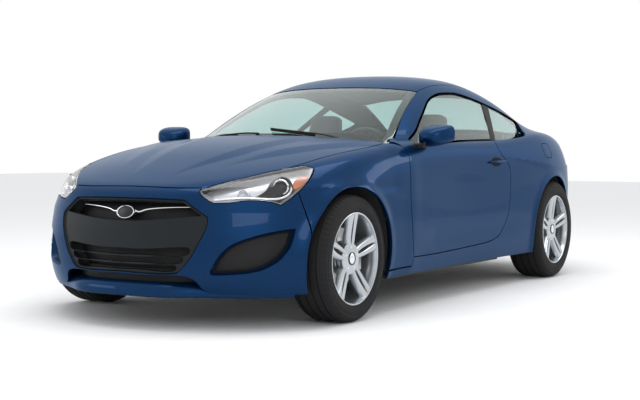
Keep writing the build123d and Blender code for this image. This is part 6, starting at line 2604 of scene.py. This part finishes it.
@dataclass
class CabinTrim:
    """Wheel, dashboard dressing, door trims, headliner and carpets."""

    finishes: Finishes
    wheel_centre: tuple[float, float, float] = (430.0, 400.0, 850.0)
    column_lean: float = 24.0
    rim_r: float = 178.0
    grip_r: float = 15.5
    door_thick: float = 64.0

    def build(self) -> None:
        """Build the trim."""
        self.steering_wheel()
        self.dash_dressing()
        self.door_trims()
        self.lining()
        self.posts()

    def steering_wheel(self) -> None:
        """Leather rim, three spokes and a bare hub pad."""
        place = at(*self.wheel_centre, spin(90 + self.column_lean, "Y"))
        wheel = Parts()
        angle = np.linspace(0, 2 * math.pi, 73)
        ring = as_points(self.rim_r * np.cos(angle), self.rim_r * np.sin(angle), 0.0)
        wheel.tube(moved(ring, place), self.grip_r, 16)
        one(wheel, "steering_wheel_rim", self.finishes.leather, "cabin_plastic", "steering_wheel",
            body="steering_wheel_body")
        hub = Parts()
        hub.ball((0, 0, -14), (62, 66, 26), 0.6, matrix=place)
        for turn in (90, 180, 270):
            a = math.radians(turn)
            line = np.array([(r * math.cos(a), r * math.sin(a),
                              -14 + 10 * r / self.rim_r) for r in np.linspace(40, 174, 8)])
            hub.tube(moved(line, place), 20.0 - 4 * np.linspace(0, 1, 8), 14, 0.45)
        hub.take(*self.rod(), matrix=place)
        one(hub, "steering_wheel_hub", self.finishes.cabin, "cabin_plastic", body="steering_wheel_body")

    @staticmethod
    def rod() -> tuple[Points, list[tuple]]:
        """Short column behind the hub, out along the wheel's axis.

        Returns:
            Corners and faces.
        """
        count, radius, length = 24, 11.5, 200.0
        angle = around(count)
        x, y = radius * np.cos(angle), radius * np.sin(angle)
        verts = np.concatenate([as_points(x, y, 0.0), as_points(x, y, length)])
        return verts, quads(2, count)

    def dash_dressing(self) -> None:
        """Instrument hood, vents and a centre screen."""
        hood = Parts()
        rings = []
        for t in np.linspace(0, 1, 12):
            a = np.linspace(0, math.pi, 25)
            x = 690 - 170 * t
            rings.append(as_points(x, 400 + (165 - 14 * t) * np.cos(a), 890 + (42 + 22 * t) * np.sin(a)))
        hood.loft(rings, closed=False, caps=False)
        hood.loft([ring - (0, 0, 6) for ring in rings], closed=False, caps=False)
        one(hood, "instrument_hood", self.finishes.leather, "cabin_plastic")
        dials = Parts()
        for y, r in ((335, 46), (465, 46), (400, 24)):
            dials.lathe([(r - 5, 0), (r - 4, 6), (r, 7), (r + 2, 4), (r + 2, -4)],
                        at(548, y, 868, spin(90, "Z") @ spin(20, "X")), 40)
        one(dials, "dial_rings", self.finishes.chrome, "cabin_plastic")
        dark = Parts()
        dark.box((556, 400, 862), (10, 270, 110), 4)
        dark.box((536, 0, 846), (14, 170, 96), 5)
        dark.box((532, 0, 700), (14, 180, 120), 5)
        one(dark, "dash_screens", self.finishes.gloss_black, "cabin_plastic")
        vents = Parts()
        for y in (-600, -130, 130, 605):
            for k in range(5):
                vents.box((545, y, 800 + 13 * k), (22, 92, 5), 1.5)
            vents.box((552, y, 826), (8, 104, 78), 3)
        one(vents, "dash_vents", self.finishes.grille_grey, "cabin_plastic")

    def door_trims(self) -> None:
        """Inner faces of the doors with arm rests."""
        loop = join(LINES.door_front, LINES.door_low, LINES.door_rear, LINES.belt)
        trim = Panel(SIDE, loop, Skin.LOWER, pitch=20.0, gap=10.0, lip=3.0, turn_in=3.0).mesh()
        trim.verts = [verts - (0, self.door_thick, 0) for verts in trim.verts]
        both(trim, "door_trim", DOORS, self.finishes.cabin, "cabin_plastic")
        frame = Panel(slant(12), loop, Skin.LOWER, pitch=20.0, gap=3.0, lip=2.0, turn_in=60.0, depth=1.5)
        edge = Mesher()
        frame.edge_strip(edge, frame.flat_loops()[0], 1)
        both(edge, "door_frame", DOORS, self.finishes.paint, "body_paint")
        rest = Parts()
        rest.ball((60, 742, 640), (270, 44, 32), 0.5)
        rest.tube([(300, 748, 760), (220, 738, 800), (120, 738, 812), (40, 746, 800)], 11.0, 12)
        both(rest, "door_arm_rest", DOORS, self.finishes.leather, "cabin_plastic")

    def lining(self) -> None:
        """Headliner, carpets and parcel shelf cover."""
        half = join(LINES.screen_top[::-1], LINES.roof_side, LINES.roof_rear)
        liner = Panel(TOP, doubled(half), Skin.CABIN, pitch=30.0, gap=14.0, lip=2.0, depth=20.0, turn_in=2)
        one(liner.mesh(), "headliner", self.finishes.headliner, "seat_cloth")
        mats = Parts()
        for y in (-400, 400):
            mats.box((600, y, 196), (620, 440, 14), 6)
            mats.box((-350, y, 196), (330, 440, 14), 6)
        mats.box((-1420, 0, 948), (430, 1060, 14), 6)
        one(mats, "carpets", self.finishes.carpet, "seat_cloth")

    def posts(self) -> None:
        """Painted pillars and sill faces that show in the open doorways."""
        posts = Parts()
        posts.box((922, 812, 545), (60, 46, 640), 6)
        posts.box((-609, 818, 600), (62, 40, 600), 6)
        posts.box((130, 796, 262), (1640, 40, 56), 8)
        both(posts, "door_posts", SIDES, self.finishes.paint, "body_paint")


# ---------------------------------------------------------------- tail and underbody trim
@dataclass
class TailTrim:
    """Plate recess, diffuser, exhaust tips and high brake lamp."""

    finishes: Finishes

    @staticmethod
    def rear_loop(points: list[tuple]) -> Points:
        """Closed curve drawn from behind and laid on the tail."""
        line = surface_line(points, REAR, Skin.LOWER, 8)
        return doubled(line)

    def build(self) -> None:
        """Build the trim."""
        plate = self.rear_loop([(0, 640), (230, 640), (262, 628), (272, 600), (262, 528), (236, 510),
                                (0, 508)])
        frame = Panel(REAR, plate, Skin.LOWER, pitch=14.0, gap=0, lip=2.0, turn_in=3.0, depth=-1.2)
        one(frame.mesh(), "plate_frame", self.finishes.gloss_black, "black_plastic")
        inner = self.rear_loop([(0, 626), (205, 626), (205, 626), (205, 520), (205, 520), (0, 520)])
        blank = Panel(REAR, inner, Skin.LOWER, pitch=20.0, gap=0, lip=1.0, turn_in=2.0, depth=-4.0)
        one(blank.mesh(), "plate_blank", self.finishes.plate, "black_plastic")
        diffuser = self.rear_loop([(0, 345), (380, 345), (560, 330), (620, 300), (600, 238), (560, 226),
                                   (0, 222)])
        panel = Panel(REAR, diffuser, Skin.LOWER, pitch=16.0, gap=0, lip=3.0, turn_in=60.0, depth=-2.0)
        one(panel.mesh(), "rear_diffuser", self.finishes.black, "black_plastic")
        fins = Parts()
        for y in (-240, -80, 80, 240):
            spot = land(REAR, np.array([[abs(y), 280.0]]), Skin.LOWER)[0]
            fins.box((spot[0] + 6, y, 268), (44, 7, 92), 3)
        one(fins, "diffuser_fins", self.finishes.black, "black_plastic")
        tips = Parts()
        for y in (-460, 460):
            tips.lathe([(40, 0), (43, -8), (43, -120), (38, -120), (38, 0)],
                       at(-2240, y, 262, spin(90, "Z")), 48, closed=True)
        one(tips, "exhaust_tips", self.finishes.chrome, "exhaust_steel")
        bar = surface_line([(0, 800), (120, 800), (205, 798)], REAR, Skin.LOWER, 8)
        grip = Parts()
        grip.tube(join(mirrored(bar), bar) + (-3, 0, 0), 8.0, 12, 0.8)
        one(grip, "lid_grip", self.finishes.gloss_black, "black_plastic", body="trunk_lid_body")
        lamp = Parts()
        lamp.box((-1590, 0, 1002), (26, 300, 16), 4)
        one(lamp, "high_brake_lamp", self.finishes.red_lens, "lamp_red")
        reflectors = surface_line([(560, 470), (640, 472), (640, 472), (640, 446), (640, 446), (560, 444),
                                   (560, 444)], REAR, Skin.LOWER, 6)
        strip = Panel(REAR, reflectors, Skin.LOWER, pitch=9.0, gap=0, lip=1.0, turn_in=1.5, depth=-1.8)
        both(strip.mesh(), "rear_reflector", SIDES, self.finishes.red_lens, "lamp_red")


@dataclass
class Wipers:
    """Two wipers parked under the windscreen."""

    finishes: Finishes

    def build(self) -> None:
        """Build arms and blades, standing in for the frame's wipers."""
        out = Parts()
        for base_y, tip_y, tip_x in ((430, -60, 836), (-120, -600, 838)):
            y = np.linspace(base_y, tip_y, 14)
            x = np.linspace(885, tip_x, 14) + 16 * np.sin(np.linspace(0, math.pi, 14))
            skin = land(TOP, as_points(x, np.abs(y)), Skin.CABIN)
            lift = np.interp(np.linspace(0, 1, 14), [0, 0.2, 1], [16, 22, 20])
            out.tube(as_points(x, y, skin[:, 2] + lift), np.linspace(8, 4.2, 14), 12, 0.6)
            out.tube([(885, base_y, 902), (885, base_y, skin[0, 2] + 18)], 12.0, 16)
            blade = as_points(x[4:] - 16, y[4:], skin[4:, 2] + 8)
            out.tube(blade + (10, 0, 3), 5.0, 8, 1.5)
        one(out, "wiper_set", self.finishes.black, "black_plastic", "wipers")


# ---------------------------------------------------------------- frame pieces that stay in sight
def dress_frame(finishes: Finishes) -> None:
    """Give the frame's own nodes their finishes.

    Args:
        finishes: All materials.
    """
    wanted = {
        finishes.chassis: ("floor_pan", "front_frame", "wheel_liners", "fuel_tank", "cowl"),
        finishes.steel: ("front_suspension", "rear_suspension", "knuckle_left", "knuckle_right", "exhaust",
                         "door_hinges", "lid_hinges"), finishes.cast: ("engine", "radiator"),
        finishes.cabin: ("dashboard", "console", "steering_wheel"),
        finishes.leather: ("seat_left", "seat_right", "rear_seat"),
        finishes.tyre: ("tyre_front_left", "tyre_front_right", "tyre_rear_left", "tyre_rear_right"),
        finishes.alloy: ("wheel_front_left", "wheel_front_right", "wheel_rear_left", "wheel_rear_right"),
        finishes.lens: ("headlamps",), finishes.red_lens: ("tail_lamps",),
        finishes.gloss_black: ("fog_panels",),}
    for material, names in wanted.items():
        for name in names:
            for slot in frame["nodes"][name].material_slots:
                slot.material = material


# ---------------------------------------------------------------- camera, light and floor
@dataclass
class Studio:
    """Camera, soft lights, pale floor and backdrop."""

    camera_at: tuple[float, float, float] = (6.99520, 4.04330, 0.87983)
    yaw: float = math.radians(180 + 31.3666)
    pitch: float = math.radians(-2.2438)
    roll: float = math.radians(0.2689)
    lens: float = 69.47
    floor_size: float = 60.0

    def build(self) -> None:
        """Place everything."""
        self.camera()
        self.floor()
        self.lights()

    def camera(self) -> None:
        """Main camera."""
        data = bpy.data.cameras.new("camera")
        data.lens, data.sensor_width = self.lens, 36.0
        data.clip_end = 200.0
        obj = place_object("camera", data)
        look = Vector((math.cos(self.yaw) * math.cos(self.pitch), math.sin(self.yaw) * math.cos(self.pitch),
                       math.sin(self.pitch)))
        turn = look.to_track_quat("-Z", "Y").to_matrix().to_4x4() @ Matrix.Rotation(self.roll, 4, "Z")
        obj.matrix_world = Matrix.Translation(self.camera_at) @ turn
        bpy.context.scene.camera = obj

    def floor(self) -> None:
        """Pale matt floor that reads as white to the camera."""
        mesh = bpy.data.meshes.new("floor")
        h = self.floor_size / 2
        mesh.from_pydata([(-h, -h, 0), (h, -h, 0), (h, h, 0), (-h, h, 0)], [], [(0, 1, 2, 3)])
        obj = place_object("floor", mesh)
        mesh.materials.append(Finish("floor_pale", (0.82, 0.82, 0.82), 0.75, vary=0.01, specular=0.2).make())

    def lights(self) -> None:
        """White surroundings, a long overhead panel and two side panels."""
        world = bpy.data.worlds.new("studio")
        bpy.context.scene.world = world
        world.use_nodes = True
        tree = world.node_tree
        background = tree.nodes["Background"]
        path = tree.nodes.new("ShaderNodeLightPath")
        mix = tree.nodes.new("ShaderNodeMixShader")
        white = tree.nodes.new("ShaderNodeBackground")
        white.inputs["Color"].default_value = (1, 1, 1, 1)
        white.inputs["Strength"].default_value = 1.0
        background.inputs["Color"].default_value = (0.97, 0.98, 1.0, 1)
        background.inputs["Strength"].default_value = 1.0
        seen = [path.outputs[f"Is {kind} Ray"] for kind in ("Camera", "Glossy", "Transmission")]
        total = seen[0]
        for socket in seen[1:]:
            either = tree.nodes.new("ShaderNodeMath")
            either.operation = "MAXIMUM"
            tree.links.new(total, either.inputs[0])
            tree.links.new(socket, either.inputs[1])
            total = either.outputs["Value"]
        tree.links.new(total, mix.inputs["Fac"])
        tree.links.new(background.outputs["Background"], mix.inputs[1])
        tree.links.new(white.outputs["Background"], mix.inputs[2])
        tree.links.new(mix.outputs["Shader"], tree.nodes["World Output"].inputs["Surface"])
        for name, place, target, size, power in (("overhead", (0.5, 0.5, 5.5), (0, 0, 0), (6.0, 3.0),
                                                  170.0), ("front_left", (6.5, 5.5, 3.2), (0.8, 0, 0.6),
                                                           (3.5, 2.0), 90.0),
                                                 ("front_right", (6.0, -6.0, 3.0), (1.0, 0, 0.6),
                                                  (3.0, 2.0), 50.0),
                                                 ("rear_left", (-6.0, 6.0, 3.5), (-0.5, 0, 0.6), (4.0, 2.0),
                                                  80.0)):
            data = bpy.data.lights.new(name, "AREA")
            data.shape, data.size, data.size_y, data.energy = "RECTANGLE", *size, power
            obj = place_object(name, data)
            way = Vector(target) - Vector(place)
            obj.matrix_world = Matrix.Translation(place) @ way.to_track_quat("-Z", "Y").to_matrix().to_4x4()


def main() -> None:
    """Build the car's looks and the studio, in order."""
    bpy.context.scene.view_settings.view_transform = "Standard"
    finishes = Finishes()
    dress_frame(finishes)
    BodyPanels(finishes).build()
    Glasshouse(finishes).build()
    Grille(finishes).build()
    FogRecess(finishes).build()
    LowerLip(finishes).build()
    Mirrors(finishes).build()
    DoorHandles(finishes).build()
    FuelFlap(finishes).build()
    Headlamps(finishes).build()
    TailLamps(finishes).build()
    for size in (WheelSize("front", FRONT_AXLE_X, 801.0, FRONT_AXLE_Z, 100.0),
                 WheelSize("rear", REAR_AXLE_X, 807.0, REAR_AXLE_Z, 110.0)):
        Wheel(finishes, size).build()
    TailTrim(finishes).build()
    Wipers(finishes).build()
    CabinTrim(finishes).build()
    Seats(finishes).build()
    Studio().build()


if __name__ == "__main__":
    main()
